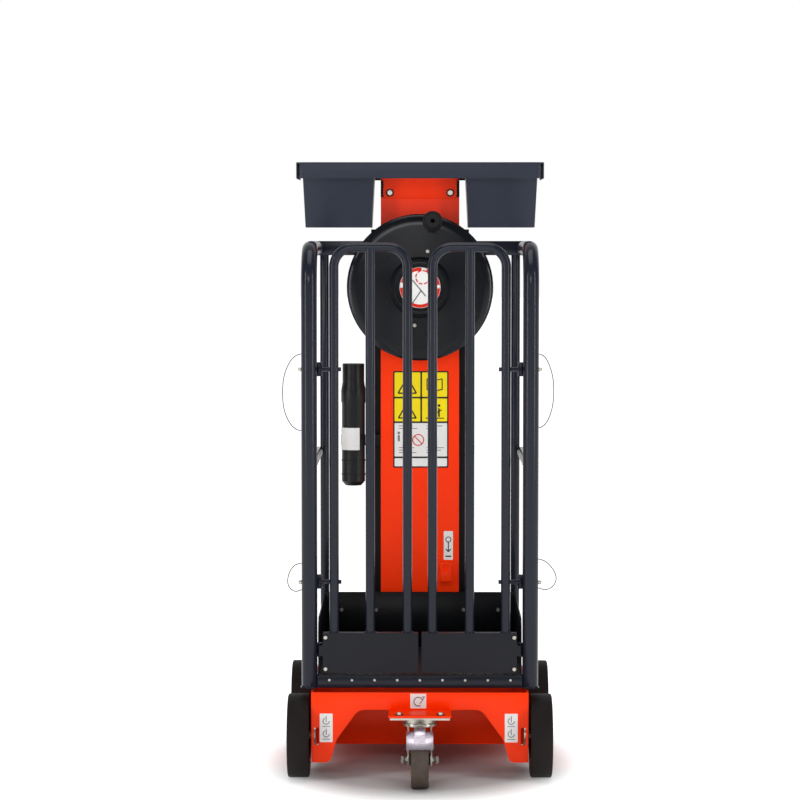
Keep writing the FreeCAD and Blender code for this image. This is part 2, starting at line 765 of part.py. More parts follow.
# Carriage: the spine, the orange cover in front of the mast, and the winch housing
neck = size.spine_half_width
neck_front = size.cover_y + size.cover_thick
outer_section = [
    (-spine_half, spine_front), (-neck, spine_front), (-neck, neck_front), (neck, neck_front),
    (neck, spine_front), (spine_half, spine_front), (spine_half, spine_back), (-spine_half, spine_back),
]
inner_section = [
    (wall - spine_half, spine_front + wall), (wall - neck, spine_front + wall), (wall - neck, neck_front + wall),
    (neck - wall, neck_front + wall), (neck - wall, spine_front + wall), (spine_half - wall, spine_front + wall),
    (spine_half - wall, spine_back - wall), (wall - spine_half, spine_back - wall),
]
node("carriage_spine", cut("hollow spine", prism("spine", "Z", spine_low, spine_top, outer_section), [
    prism("spine hollow", "Z", spine_low - 1, spine_top + 1, inner_section),
]))

cover_half = size.cover_half_width
cover_thick = size.cover_thick
cover_back = size.cover_y + size.cover_depth
node("mast_cover", prism("mast cover", "Z", size.cover_low, size.cover_top, [
    (-cover_half, size.cover_y), (cover_half, size.cover_y), (cover_half, cover_back),
    (cover_half - cover_thick, cover_back), (cover_half - cover_thick, size.cover_y + cover_thick),
    (cover_thick - cover_half, size.cover_y + cover_thick), (cover_thick - cover_half, cover_back),
    (-cover_half, cover_back),
]))

winch_depth = size.cover_y - size.winch_front_y
shaft_front = size.disc_back_y - size.disc_depth - size.hub_collar_depth * 0.5
node("winch_housing", revolved("winch housing", "Y", [
    (0, 0), (0, size.winch_radius), (-winch_depth + 8, size.winch_radius), (-winch_depth, size.winch_radius - 8),
    (-winch_depth, size.crank_shaft_radius), (shaft_front - size.cover_y, size.crank_shaft_radius),
    (shaft_front - size.cover_y, 0),
], 0, size.cover_y, size.crank_height))

# Crank: a dished disc on the winch shaft, with a turning grip near its rim
disc_front = -size.disc_depth
shell = size.disc_wall
rim_r = size.disc_radius
collar_r = size.hub_collar_radius
shaft_bore = size.crank_shaft_radius + size.pin_clearance
collar_front = disc_front - size.hub_collar_depth
node("crank_disc", revolved("crank disc", "Y", [
    (0, shaft_bore), (0, shaft_bore + 20), (disc_front + 4, shaft_bore + 24), (disc_front + 11, rim_r - 16),
    (0, rim_r - shell), (0, rim_r), (disc_front + 13, rim_r), (disc_front + 6, rim_r - 9),
    (disc_front, collar_r + 2), (collar_front, collar_r - 5), (collar_front, shaft_bore),
], 0, size.disc_back_y, size.crank_height))
node("crank_hub_cap", revolved("hub cap", "Y", [
    (collar_front - 3, 0), (collar_front - 3, size.hub_face_radius - 8),
    (collar_front, size.hub_face_radius - 5), (collar_front, 0),
], 0, size.disc_back_y, size.crank_height))

# the grip sits a little to the right, at its orbit's radius from the shaft
grip_rise = (size.grip_orbit.number ** 2 - size.grip_side.number ** 2) ** 0.5
grip_height = Size(size.crank_height.number + grip_rise,
                   "(Sizes.crank_height + sqrt(Sizes.grip_orbit^2 - Sizes.grip_side^2))")
disc_face = disc_front + 4
grip_end = disc_face - size.grip_length
node("crank_grip", revolved("crank grip", "Y", [
    (disc_face, 0), (disc_face, size.grip_flange_radius), (disc_face - 7, size.grip_flange_radius),
    (disc_face - 7, size.grip_radius), (grip_end, size.grip_radius), (grip_end, 0),
], size.grip_side, size.disc_back_y, grip_height))

# Platform: a deck on channel rails, toe boards, side guards and the back rail
deck_half = size.deck_half_width
deck_back = size.cover_y
deck_under = size.deck_top - size.deck_plate_thick
rail = size.deck_rail_width
skin = size.deck_rail_thick


def deck_frame():
    """A ring of folded angle with its flange inwards, and one cross beam."""
    block = box("deck frame block", (-deck_half, deck_half), (size.deck_front_y, deck_back),
                (size.deck_low, deck_under))
    inside = box("deck frame inside", (skin - deck_half, deck_half - skin),
                 (size.deck_front_y + skin, deck_back - skin), (size.deck_low + skin, deck_under + 1))
    well = box("deck well", (rail - deck_half, deck_half - rail), (size.deck_front_y + rail, deck_back - rail),
               (size.deck_low - 1, deck_under + 1))
    middle = (size.deck_front_y + deck_back) * 0.5
    beam = box("deck cross beam", (skin * 0.5 - deck_half, deck_half - skin * 0.5),
               (middle - rail * 0.5, middle + rail * 0.5), (size.deck_low, deck_under))
    return fuse("deck frame", [cut("deck ring", block, [inside, well]), beam])


node("deck_frame", deck_frame())

# the deck plate lies between the toe boards, which stand on the frame beside it
board = size.toe_board_thick
board_y = size.toe_board_back_y
node("deck_plate", box("deck plate", (board - deck_half, deck_half - board), (size.deck_front_y, board_y),
                       (deck_under, size.deck_top)))
node("toe_board_back", box("back toe board", (-deck_half, deck_half), (board_y, board_y + board),
                           (deck_under, size.toe_board_back_top)))
board_front = size.post_y + size.post_radius + 1
for name, side in SIDES:
    across = mirrored_pair(side, deck_half - board, deck_half)
    toe_board = prism(f"side toe board {name}", "X", across[0], across[1], [
        (board_front, deck_under), (board_y, deck_under), (board_y, size.toe_board_side_top),
        (board_front, size.toe_board_side_top),
    ])
    round_edges(toe_board, size.toe_board_round, lambda edge, middle: (
        abs(middle.y - board_front.number) < 0.01 and abs(middle.z - size.toe_board_side_top.number) < 0.01))
    node(f"toe_board_{name}", toe_board)

rail_front = size.cover_y - size.back_rail_depth
rail_half = size.post_x + 8
node("back_rail", box("back rail", (-rail_half, rail_half), (rail_front, size.cover_y),
                      (size.back_rail_low, size.guard_top)))

HINGES = [
    # name, height, inner end of its arm
    ("upper", size.hinge_upper_height, size.arm_inner_x),
    ("lower", size.hinge_lower_height, size.arm_inner_x),
    ("kick", size.hinge_kick_height, size.kick_plate_outer - 12),
]
RELEASE_PINS = [row for row in HINGES if row[0] != "kick"]


def side_guard(name, side):
    """A hooped post with side rails, a rear upright, and the lugs and pins of the gate's hinges."""
    hoop_x = side * size.post_x
    hoop_height = size.guard_top - size.post_radius
    hoop = bent_tube(f"hoop {name}", "X", hoop_x, size.post_radius, size.hoop_bend, [
        (size.post_y, size.post_low), (size.post_y, hoop_height), (rail_front, hoop_height),
    ])
    pieces = [hoop, cylinder(f"rear upright {name}", "Z", size.bar_radius, deck_under, size.back_rail_low,
                             x=side * size.upright_x, y=size.upright_y)]
    pieces.append(cylinder(f"side rail {name}", "Y", size.bar_radius, size.post_y, size.upright_y,
                           x=side * size.side_rail_x, z=size.side_rail_height))
    half_barrel = size.hinge_barrel_height * 0.5 + size.hinge_end_gap
    for level, height, _ in HINGES:
        across = mirrored_pair(side, size.hinge_x - 7, size.post_x)
        for lug, low in (("below", height - half_barrel - size.hinge_lug_thick), ("above", height + half_barrel)):
            pieces.append(box(f"lug {name} {level} {lug}", across, (size.hinge_y - 7, size.hinge_y + 7),
                              (low, low + size.hinge_lug_thick)))
        pin_end = half_barrel + size.hinge_lug_thick
        pieces.append(cylinder(f"hinge pin {name} {level}", "Z", size.hinge_pin_radius,
                               height - pin_end, height + pin_end, x=side * size.hinge_x, y=size.hinge_y))
    foot = mirrored_pair(side, deck_half, size.post_x)
    pieces.append(box(f"post foot {name}", foot, (size.post_y, size.post_y + size.post_radius * 2),
                      (size.deck_low, size.deck_top)))
    return fuse(f"side guard {name}", pieces)


for name, side in SIDES:
    node(f"side_guard_{name}", side_guard(name, side))
    pins = []
    for level, height, _ in RELEASE_PINS:
        post_side = size.post_x + size.post_radius
        across = mirrored_pair(side, size.post_x, post_side + size.release_pin_reach)
        pin = cylinder(f"release pin {name} {level}", "X", size.release_pin_radius, across[0], across[1],
                       y=size.post_y, z=height)
        pins.append(cut(f"release pin {name} {level} outside the post", pin, [
            cylinder(f"post room {name} {level}", "Z", size.post_radius, height - 20, height + 20,
                     x=side * size.post_x, y=size.post_y)]))
    node(f"release_pins_{name}", group(f"release pins {name}", pins))


def wire(radius, route):
    """A round wire of straight runs joined by tangent arcs, each as large as its two runs allow."""
    points = [FreeCAD.Vector(across, 0, up) for across, up in route]
    edges, start = [], points[0]
    for before, corner, after in zip(points, points[1:], points[2:]):
        back = min((corner - before).Length, (after - corner).Length) * 0.45
        first = corner + (before - corner).normalize() * back
        last = corner + (after - corner).normalize() * back
        inward = ((before - corner).normalize() + (after - corner).normalize()).normalize()
        half_turn = (corner - before).getAngle(after - corner) / 2
        bend = back / math.tan(half_turn)
        crown = corner + inward * (bend / math.cos(half_turn) - bend)
        edges += [Part.LineSegment(start, first).toShape(), Part.Arc(first, crown, last).toShape()]
        start = last
        print(f"wire radius {bend:.1f}")
    edges.append(Part.LineSegment(start, points[-1]).toShape())
    # a six-sided section keeps the thin wire light
    across = (points[1] - points[0]).cross(FreeCAD.Vector(0, 1, 0)).normalize() * radius
    flat = FreeCAD.Vector(0, radius, 0)
    ring = [points[0] + across * math.cos(turn) + flat * math.sin(turn)
            for turn in (math.pi / 3 * step for step in range(7))]
    return Part.Wire(edges).makePipeShell([Part.makePolygon(ring)], True, True)


# Lanyards: stiff wire bows from post to post, outwards of the release pins
# name, side, height they are placed from, points as (outwards from the post's face, up)
LANYARDS = [
    ("upper_left", -1, size.hinge_upper_height, [
        (0, 41), (15, 38), (33, 15), (46, -20), (49, -62), (46, -104), (33, -138), (15, -159), (0, -162)]),
    ("upper_right", 1, size.hinge_upper_height, [
        (0, 41), (13, 38), (27, 13), (37, -22), (39, -60), (36, -98), (26, -130), (12, -151), (0, -154)]),
    ("lower_left", -1, size.hinge_lower_height, [
        (0, 50), (12, 49), (25, 38), (34, 20), (37, 0), (31, -17), (18, -25), (8, -24), (0, -20)]),
    ("lower_right", 1, size.hinge_lower_height, [
        (0, 62), (12, 60), (28, 48), (42, 30), (48, 10), (41, -9), (25, -19), (10, -19), (0, -15)]),
]
for name, side, height, route in LANYARDS:
    lanyard = doc.addObject("Part::Feature", f"lanyard {name}")
    lanyard.Shape = wire(size.lanyard_radius.number, [(side * outwards, up) for outwards, up in route])
    node(f"lanyard_{name}", place(
        lanyard, side * (size.post_x + size.post_radius + size.lanyard_seat), size.post_y, height))


# Gates: two inward saloon gates of bent tube with kick plates
def gate_frame(name, side):
    """An inverted U with a middle bar, hinge arms and barrels."""
    top = size.gate_top - size.bar_radius
    low = size.kick_plate_high
    pieces = [
        bent_tube(f"gate loop {name}", "Y", size.post_y, size.bar_radius, size.gate_bend, [
            (side * size.gate_bar_outer, low), (side * size.gate_bar_outer, top),
            (side * size.gate_bar_inner, top), (side * size.gate_bar_inner, low),
        ]),
        cylinder(f"gate middle bar {name}", "Z", size.bar_radius, low, top,
                 x=side * size.gate_bar_middle, y=size.post_y),
    ]
    arm_y = (size.post_y + size.hinge_y) * 0.5
    half_barrel = size.hinge_barrel_height * 0.5
    bores = []
    for level, height, inner in RELEASE_PINS:
        across = mirrored_pair(side, inner, size.hinge_x)
        pieces.append(cylinder(f"gate arm {name} {level}", "X", size.arm_radius, across[0], across[1],
                               y=arm_y, z=height))
        pieces.append(cylinder(f"gate barrel {name} {level}", "Z", size.hinge_barrel_radius,
                               height - half_barrel, height + half_barrel, x=side * size.hinge_x, y=size.hinge_y))
        bores.append(hinge_bore(name, side, level, height))
    return cut(f"gate frame {name}", fuse(f"gate frame blank {name}", pieces), bores)


def hinge_bore(name, side, level, height):
    """The hole in a barrel, a running fit on its pin."""
    return cylinder(f"gate bore {name} {level}", "Z", size.hinge_pin_radius + size.pin_clearance,
                    height - size.hinge_barrel_height, height + size.hinge_barrel_height,
                    x=side * size.hinge_x, y=size.hinge_y)


def kick_plate(name, side):
    """A folded sheet below the bars, with the lowest hinge barrel."""
    thick = size.kick_plate_thick
    front = size.post_y - size.bar_radius
    back = size.post_y + size.bar_radius
    low = size.kick_plate_low
    high = size.kick_plate_high
    across = mirrored_pair(side, size.kick_plate_inner, size.kick_plate_outer)
    sheet_metal = prism(f"kick plate {name}", "X", across[0], across[1], [
        (front, low), (back, low), (back, low + thick), (front + thick, low + thick),
        (front + thick, high - thick), (back, high - thick), (back, high), (front, high),
    ])
    level, height, inner = HINGES[2]
    half_barrel = size.hinge_barrel_height * 0.5
    reach = mirrored_pair(side, inner, size.hinge_x)
    pieces = [
        sheet_metal,
        box(f"kick hinge leaf {name}", reach, (front, size.hinge_y), (height - half_barrel, height + half_barrel)),
        cylinder(f"kick barrel {name}", "Z", size.hinge_barrel_radius, height - half_barrel,
                 height + half_barrel, x=side * size.hinge_x, y=size.hinge_y),
    ]
    return cut(f"kick plate {name} with hinge", fuse(f"kick plate blank {name}", pieces),
               [hinge_bore(name, side, level, height)])


for name, side in SIDES:
    node(f"gate_frame_{name}", gate_frame(name, side))
    node(f"gate_kick_plate_{name}", kick_plate(name, side))

# Work tray: a skirted top with two deep tapered bins, on a bracket plate at the cover's top
tray_half = size.tray_half_width
tray_low = size.tray_top - size.tray_skirt


def tapered_bin(name, side, inset):
    """A block that narrows downwards, as the outside of a bin or, inset by the wall, its inside."""
    inner = size.bin_inner + inset
    outer = size.bin_outer - inset
    low = size.bin_bottom + inset
    across = mirrored_pair(side, inner, outer)
    depth = (size.bin_front_y + inset, size.bin_back_y - inset)
    taper = size.bin_taper
    high = size.tray_top + 1 if "hollow" in name else size.tray_top - size.tray_wall
    block = doc.addObject("Part::Wedge", name)
    # the wedge narrows along its own Y, which is turned down here
    bind(block, Xmin=across[0], Xmax=across[1], Zmin=depth[0], Zmax=depth[1],
         X2min=across[0] + taper, X2max=across[1] - taper, Z2min=depth[0] + taper, Z2max=depth[1] - taper,
         Ymin=0, Ymax=high - low)
    place(block, 0, 0, high, FreeCAD.Rotation(FreeCAD.Vector(1, 0, 0), -90))
    doc.recompute()
    return block


def work_tray():
    """The moulded tray with its skirt and bins."""
    top = prism("tray top", "Z", tray_low, size.tray_top, [
        (-tray_half, size.tray_front_y), (tray_half, size.tray_front_y),
        (tray_half, size.tray_back_y), (-tray_half, size.tray_back_y),
    ])
    round_edges(top, size.tray_round, lambda edge, middle: (
        abs(abs(middle.x) - tray_half.number) < 0.01 and edge.Vertexes[0].Point.z != edge.Vertexes[-1].Point.z))
    skin = size.tray_wall
    under = box("tray underside", (skin - tray_half, tray_half - skin),
                (size.tray_front_y + skin, size.tray_back_y - skin), (tray_low - 1, size.tray_top - skin))
    shell_top = cut("tray skirt", top, [under])
    blocks = [tapered_bin(f"bin {name}", side, as_size(0)) for name, side in SIDES]
    hollows = [tapered_bin(f"bin hollow {name}", side, size.tray_wall) for name, side in SIDES]
    return cut("work tray", fuse("tray blank", [shell_top] + blocks), hollows)


node("work_tray", work_tray())
bracket_half = size.tray_bracket_half
bracket_y = size.cover_y - size.tray_bracket_thick
bracket_face = prism("tray bracket face", "Y", bracket_y, size.cover_y, [
    (-bracket_half, size.tray_bracket_low), (bracket_half, size.tray_bracket_low),
    (bracket_half, size.tray_top - size.tray_wall), (-bracket_half, size.tray_top - size.tray_wall),
])
round_edges(bracket_face, as_size(12), lambda edge, middle: (
    abs(abs(middle.x) - bracket_half.number) < 0.01 and abs(middle.z - size.tray_bracket_low.number) < 0.01))
shelf_low = size.tray_top - size.tray_wall - size.tray_bracket_thick
node("tray_bracket", fuse("tray bracket", [
    bracket_face,
    box("tray bracket shelf", (-bracket_half, bracket_half), (size.tray_front_y + 20, size.tray_back_y - 20),
        (shelf_low, size.tray_top - size.tray_wall)),
]))

# Document tube on a bracket at the cover's left side
neck_r = size.document_neck_radius
tube_r = size.document_radius
node("document_tube", revolved("document tube", "Z", [
    (size.document_low, 0), (size.document_low, tube_r - 12), (size.document_low + 12, tube_r - 2),
    (size.document_collar_height - 20, tube_r - 2), (size.document_collar_height - 16, tube_r),
    (size.document_collar_height + 16, tube_r), (size.document_collar_height + 40, neck_r),
    (size.document_high, neck_r), (size.document_high, 0),
], size.document_x, size.document_y, 0))
strap = size.document_bracket_height
strap_band = cylinder("document strap", "Z", tube_r + 1, strap - 15, strap + 15,
                      x=size.document_x, y=size.document_y)
node("document_bracket", cut("document bracket", fuse("document bracket blank", [
    strap_band,
    box("document bracket arm", (size.document_x, -cover_half), (size.document_y - 4, size.document_y + 4),
        (strap - 15, strap + 15)),
]), [cylinder("document strap room", "Z", tube_r - 2, strap - 16, strap + 16,
              x=size.document_x, y=size.document_y)]))

# Harness anchor: a folded tab with an eye, on the cover's front
tab_x = (size.anchor_x - size.anchor_half_width, size.anchor_x + size.anchor_half_width)
stand_off_y = size.cover_y - size.anchor_stand_off
tab = size.anchor_thick
foot_top = size.anchor_low + 18
eye_height = size.anchor_high - size.anchor_hole_radius - 8
node("harness_anchor", cut("harness anchor", prism("anchor tab", "X", tab_x[0], tab_x[1], [
    (size.cover_y, size.anchor_low), (size.cover_y, foot_top), (stand_off_y + tab, foot_top),
    (stand_off_y + tab, size.anchor_high), (stand_off_y, size.anchor_high), (stand_off_y, foot_top - tab),
    (size.cover_y - tab, foot_top - tab), (size.cover_y - tab, size.anchor_low),
]), [cylinder("anchor eye", "Y", size.anchor_hole_radius, stand_off_y - 1, stand_off_y + tab + 1,
              x=size.anchor_x, z=eye_height)]))

doc.recompute()
faults = [item.Label for item in doc.Objects if "Invalid" in item.State or "Error" in item.State]
if faults:
    raise RuntimeError(f"failed objects: {faults}")
for name, thing in nodes:
    if thing.Shape.isNull() or not thing.Shape.isValid():
        raise RuntimeError(f"{name} has no valid shape")

os.makedirs("parts", exist_ok=True)
for name, thing in nodes:
    thing.Shape.exportStep(f"parts/{name}.step")
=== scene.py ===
import math

import bpy
import numpy as np
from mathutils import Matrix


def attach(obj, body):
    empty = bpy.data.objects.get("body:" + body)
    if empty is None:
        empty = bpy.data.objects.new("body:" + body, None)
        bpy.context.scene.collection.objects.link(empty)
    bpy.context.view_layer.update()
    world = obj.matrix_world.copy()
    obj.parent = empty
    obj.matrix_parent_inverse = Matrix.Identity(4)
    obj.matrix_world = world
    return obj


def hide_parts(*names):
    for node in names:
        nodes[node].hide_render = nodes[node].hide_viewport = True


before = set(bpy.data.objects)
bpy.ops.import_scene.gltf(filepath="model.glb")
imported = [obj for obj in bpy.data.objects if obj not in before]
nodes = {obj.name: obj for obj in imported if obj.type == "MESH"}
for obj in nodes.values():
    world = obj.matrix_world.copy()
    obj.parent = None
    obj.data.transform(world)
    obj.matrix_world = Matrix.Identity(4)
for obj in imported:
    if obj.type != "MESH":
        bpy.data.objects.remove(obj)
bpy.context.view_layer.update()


# Chassis: 4 mm sheet steel, cut, folded and welded, then powder coated in orange. The coat is
# sprayed as powder and melted, which leaves a soft gloss with a faint orange-peel ripple and a
# slightly thicker, lighter skin on the edges.
def linear(hex_colour):
    """An sRGB hex colour as linear RGBA: c turns to ((c + 0.055) / 1.055) ** 2.4, or c / 12.92 if small."""
    channels = np.array([int(hex_colour[i:i + 2], 16) for i in (1, 3, 5)]) / 255
    lifted = np.where(channels > 0.04045, ((channels + 0.055) / 1.055) ** 2.4, channels / 12.92)
    return (*lifted, 1.0)


def add(tree, kind, inputs=None, **settings):
    """Add a node; inputs maps a socket's name or number to a value or to the output that feeds it."""
    made = tree.nodes.new(kind)
    for name, value in settings.items():
        setattr(made, name, value)
    for socket, value in (inputs or {}).items():
        if isinstance(value, bpy.types.NodeSocket):
            tree.links.new(value, made.inputs[socket])
        else:
            made.inputs[socket].default_value = value
    return made


def blank_material(name):
    """A node material with nothing in it but its output, and the place of its pattern in metres."""
    material = bpy.data.materials.new(name)
    material.use_nodes = True
    tree = material.node_tree
    tree.nodes.clear()
    output = add(tree, "ShaderNodeOutputMaterial")
    place = add(tree, "ShaderNodeTexCoord").outputs["Object"]
    return material, tree, output, place


CLOUDS_PER_METRE = 7.0
ROUGHNESS_BELOW, ROUGHNESS_ABOVE = 0.04, 0.06


def powder_coat(name, colour, edge_colour, roughness, ripple_mm, ripple_depth_mm, gloss_level=0.22):
    """Powder coat: a mottled colour, a ripple of a given size, and a roughness that varies a little."""
    material, tree, output, place = blank_material(name)
    cloud = add(tree, "ShaderNodeTexNoise", {"Vector": place, "Scale": CLOUDS_PER_METRE, "Detail": 3.0})
    tint = add(tree, "ShaderNodeMix", {0: cloud.outputs["Fac"], 6: linear(colour), 7: linear(edge_colour)},
               data_type="RGBA")
    peel = add(tree, "ShaderNodeTexNoise", {"Vector": place, "Scale": 1000 / ripple_mm, "Detail": 1.0})
    bump = add(tree, "ShaderNodeBump", {"Height": peel.outputs["Fac"], "Distance": ripple_depth_mm / 1000,
                                        "Strength": 0.6})
    gloss = add(tree, "ShaderNodeMapRange", {"Value": cloud.outputs["Fac"],
                                             "To Min": roughness - ROUGHNESS_BELOW,
                                             "To Max": roughness + ROUGHNESS_ABOVE})
    shader = add(tree, "ShaderNodeBsdfPrincipled", {
        "Base Color": tint.outputs[2], "Roughness": gloss.outputs["Result"],
        "Normal": bump.outputs["Normal"],
        "Specular IOR Level": gloss_level})
    tree.links.new(shader.outputs["BSDF"], output.inputs["Surface"])
    return material


# shades a piece smooth where two of its faces meet at under 35 degrees
SMOOTH_ANGLE = math.radians(35)
smooth = bpy.data.node_groups.new("smooth_by_angle", "GeometryNodeTree")
smooth.interface.new_socket("Geometry", in_out="INPUT", socket_type="NodeSocketGeometry")
smooth.interface.new_socket("Geometry", in_out="OUTPUT", socket_type="NodeSocketGeometry")
source = add(smooth, "NodeGroupInput")
faces = add(smooth, "GeometryNodeSetShadeSmooth", {"Geometry": source.outputs[0], "Shade Smooth": True})
angle = add(smooth, "GeometryNodeInputMeshEdgeAngle")
gentle = add(smooth, "FunctionNodeCompare", {0: angle.outputs["Unsigned Angle"], 1: SMOOTH_ANGLE},
             data_type="FLOAT", operation="LESS_THAN")
edges = add(smooth, "GeometryNodeSetShadeSmooth", {"Geometry": faces.outputs[0],
                                                    "Shade Smooth": gentle.outputs[0]}, domain="EDGE")
add(smooth, "NodeGroupOutput", {0: edges.outputs[0]})


WELD_REACH = 1e-5
EDGE_ANGLE = math.radians(50)


def dress(names, material, edge_mm=0.0):
    """Merge CAD nodes' loose triangles and give them their finish, with soft edges of the given width."""
    for name in names:
        piece = nodes[name]
        piece.data.materials.clear()
        piece.data.materials.append(material)
        weld = piece.modifiers.new("weld", "WELD")
        weld.merge_threshold = WELD_REACH
        if edge_mm:
            bevel = piece.modifiers.new("edges", "BEVEL")
            bevel.width = edge_mm / 1000
            bevel.segments = 2
            bevel.limit_method = "ANGLE"
            bevel.angle_limit = EDGE_ANGLE
        piece.modifiers.new("shade", "NODES").node_group = smooth


orange_coat = powder_coat("orange_powder_coat", "#f22e00", "#fa3a00", 0.32, 1.6, 0.05, 0.15)
dress(["chassis_portal", "chassis_side_left", "chassis_side_right", "chassis_cross_panel", "chassis_floor",
       "chassis_back_panel", "castor_flange"], orange_coat, 0.8)

# Wheels: solid rubber tyres moulded on black plastic rims, on zinc-plated stub axles. The rubber
# is matte with fine mould grain, drawn about 1 mm wide so that it shows, and the plastic shinier.
TYRE_SHOULDER_MM = 5
rubber, tree, output, place = blank_material("moulded_rubber")
grain = add(tree, "ShaderNodeTexNoise", {"Vector": place, "Scale": 900.0, "Detail": 2.0})
dust = add(tree, "ShaderNodeTexNoise", {"Vector": place, "Scale": 14.0, "Detail": 4.0})
shade = add(tree, "ShaderNodeMix", {0: dust.outputs["Fac"], 6: linear("#110d0c"), 7: linear("#1a1513")},
            data_type="RGBA")
bump = add(tree, "ShaderNodeBump", {"Height": grain.outputs["Fac"], "Distance": 0.0003, "Strength": 0.5})
shader = add(tree, "ShaderNodeBsdfPrincipled", {"Base Color": shade.outputs[2], "Roughness": 0.62,
                                                "Specular IOR Level": 0.15,
                                                "Normal": bump.outputs["Normal"]})
tree.links.new(shader.outputs["BSDF"], output.inputs["Surface"])
rim_plastic = powder_coat("rim_polypropylene", "#141416", "#1a1a1d", 0.42, 0.8, 0.02)
wheel_names = ("front_left", "front_right", "rear_left", "rear_right")
dress([f"tyre_{name}" for name in wheel_names], rubber, TYRE_SHOULDER_MM)
dress([f"rim_{name}" for name in wheel_names], rim_plastic)


SPANGLES_PER_METRE = 260.0


def brushed_zinc(name, colour, dark, roughness):
    """Zinc plating: metal with cloudy spangles a few millimetres wide."""
    material, tree, output, place = blank_material(name)
    spangle = add(tree, "ShaderNodeTexVoronoi", {"Vector": place, "Scale": SPANGLES_PER_METRE}, feature="F1")
    cloud = add(tree, "ShaderNodeTexNoise", {"Vector": place, "Scale": 60.0, "Detail": 3.0})
    mixed = add(tree, "ShaderNodeMath", {0: spangle.outputs["Distance"], 1: cloud.outputs["Fac"]},
                operation="MULTIPLY")
    tint = add(tree, "ShaderNodeMix", {0: mixed.outputs[0], 6: linear(colour), 7: linear(dark)},
               data_type="RGBA")
    rough = add(tree, "ShaderNodeMapRange", {"Value": cloud.outputs["Fac"], "To Min": roughness - 0.08,
                                             "To Max": roughness + 0.1})
    shader = add(tree, "ShaderNodeBsdfPrincipled", {"Base Color": tint.outputs[2], "Metallic": 1.0,
                                                    "Roughness": rough.outputs["Result"]})
    tree.links.new(shader.outputs["BSDF"], output.inputs["Surface"])
    return material


zinc = brushed_zinc("zinc_plate", "#c9c5bb", "#8e887c", 0.34)
dress(["stub_axles_front", "stub_axles_rear"], zinc, 0.4)

# Castor: a swivel castor pressed from zinc-plated steel, with a grey-brown rubber tyre on a black
# plastic rim and a foot brake plated in lilac zinc. Its top plate is bolted under the flange.
CASTOR_SHOULDER_MM = 4
castor_rubber, tree, output, place = blank_material("worn_castor_rubber")
scuff = add(tree, "ShaderNodeTexNoise", {"Vector": place, "Scale": 55.0, "Detail": 5.0})
shade = add(tree, "ShaderNodeMix", {0: scuff.outputs["Fac"], 6: linear("#3c332d"), 7: linear("#5a4f46")},
            data_type="RGBA")
bump = add(tree, "ShaderNodeBump", {"Height": scuff.outputs["Fac"], "Distance": 0.0004, "Strength": 0.5})
shader = add(tree, "ShaderNodeBsdfPrincipled", {"Base Color": shade.outputs[2], "Roughness": 0.68,
                                                "Specular IOR Level": 0.2,
                                                "Normal": bump.outputs["Normal"]})
tree.links.new(shader.outputs["BSDF"], output.inputs["Surface"])
dress(["castor_fork", "castor_top_plate"], zinc, 0.5)
dress(["castor_tyre"], castor_rubber, CASTOR_SHOULDER_MM)
brake_zinc = brushed_zinc("lilac_zinc_plate", "#cfc6cf", "#8f8698", 0.3)
dress(["castor_brake"], brake_zinc, 0.4)
dress(["castor_rim"], rim_plastic)

# Mast: three nested steel channels in black powder coat that slide on nylon pads, and the folded
# orange cover that rides up with the platform in front of them.
black_coat = powder_coat("black_powder_coat", "#08080b", "#0e0f13", 0.36, 1.4, 0.04, 0.15)
dress(["mast_fixed", "mast_middle", "mast_collar", "carriage_spine", "winch_housing", "toe_board_back",
       "document_bracket"], black_coat, 0.6)
nylon = powder_coat("nylon_slide", "#d8d4c8", "#cfcabd", 0.5, 1.0, 0.02)
dress(["mast_pads_fixed", "mast_pads_middle"], nylon, 0.5)
dress(["mast_cover", "tray_bracket", "harness_anchor"], orange_coat, 0.8)

# Crank: a dished disc moulded in gloss black plastic, clamped on the winch shaft under a white hub
# label, with a black grip that stands forward near its rim.
disc_plastic = powder_coat("disc_abs", "#0c0d11", "#12141a", 0.2, 3.0, 0.03)
grip_plastic = powder_coat("grip_nylon", "#0b0b0c", "#121213", 0.3, 1.0, 0.02)
label_white = powder_coat("label_film", "#e9e8e6", "#dedddb", 0.35, 2.0, 0.01)
dress(["crank_disc"], disc_plastic)
dress(["crank_grip"], grip_plastic)
dress(["crank_hub_cap"], label_white)

# Platform: bent steel tube and folded sheet, welded and powder coated in slate grey. The deck and
# the gates' kick plates are matte, and the release pins are zinc plated.
slate_coat = powder_coat("slate_powder_coat", "#191b24", "#20232e", 0.2, 1.5, 0.03, 0.2)
kick_coat = powder_coat("matte_kick_coat", "#1b1c21", "#202127", 0.5, 1.2, 0.04, 0.15)
dress(["deck_frame", "toe_board_left", "toe_board_right", "back_rail", "side_guard_left", "side_guard_right",
       "gate_frame_left", "gate_frame_right"], slate_coat, 0.5)
dress(["deck_plate", "gate_kick_plate_left", "gate_kick_plate_right"], kick_coat, 0.5)
dress(["release_pins_left", "release_pins_right"], zinc, 0.3)

# Tray and document tube: moulded polyethylene with a fine mould grain. The tray sits on its
# bracket, and the tube stands in a clamp at the cover's left side.
tray_plastic = powder_coat("tray_polyethylene", "#232733", "#2a2f3c", 0.4, 0.9, 0.04, 0.2)
tube_plastic = powder_coat("tube_polyethylene", "#0e0e10", "#161618", 0.36, 0.9, 0.03)
dress(["work_tray"], tray_plastic, 1.5)
dress(["document_tube"], tube_plastic, 0.5)

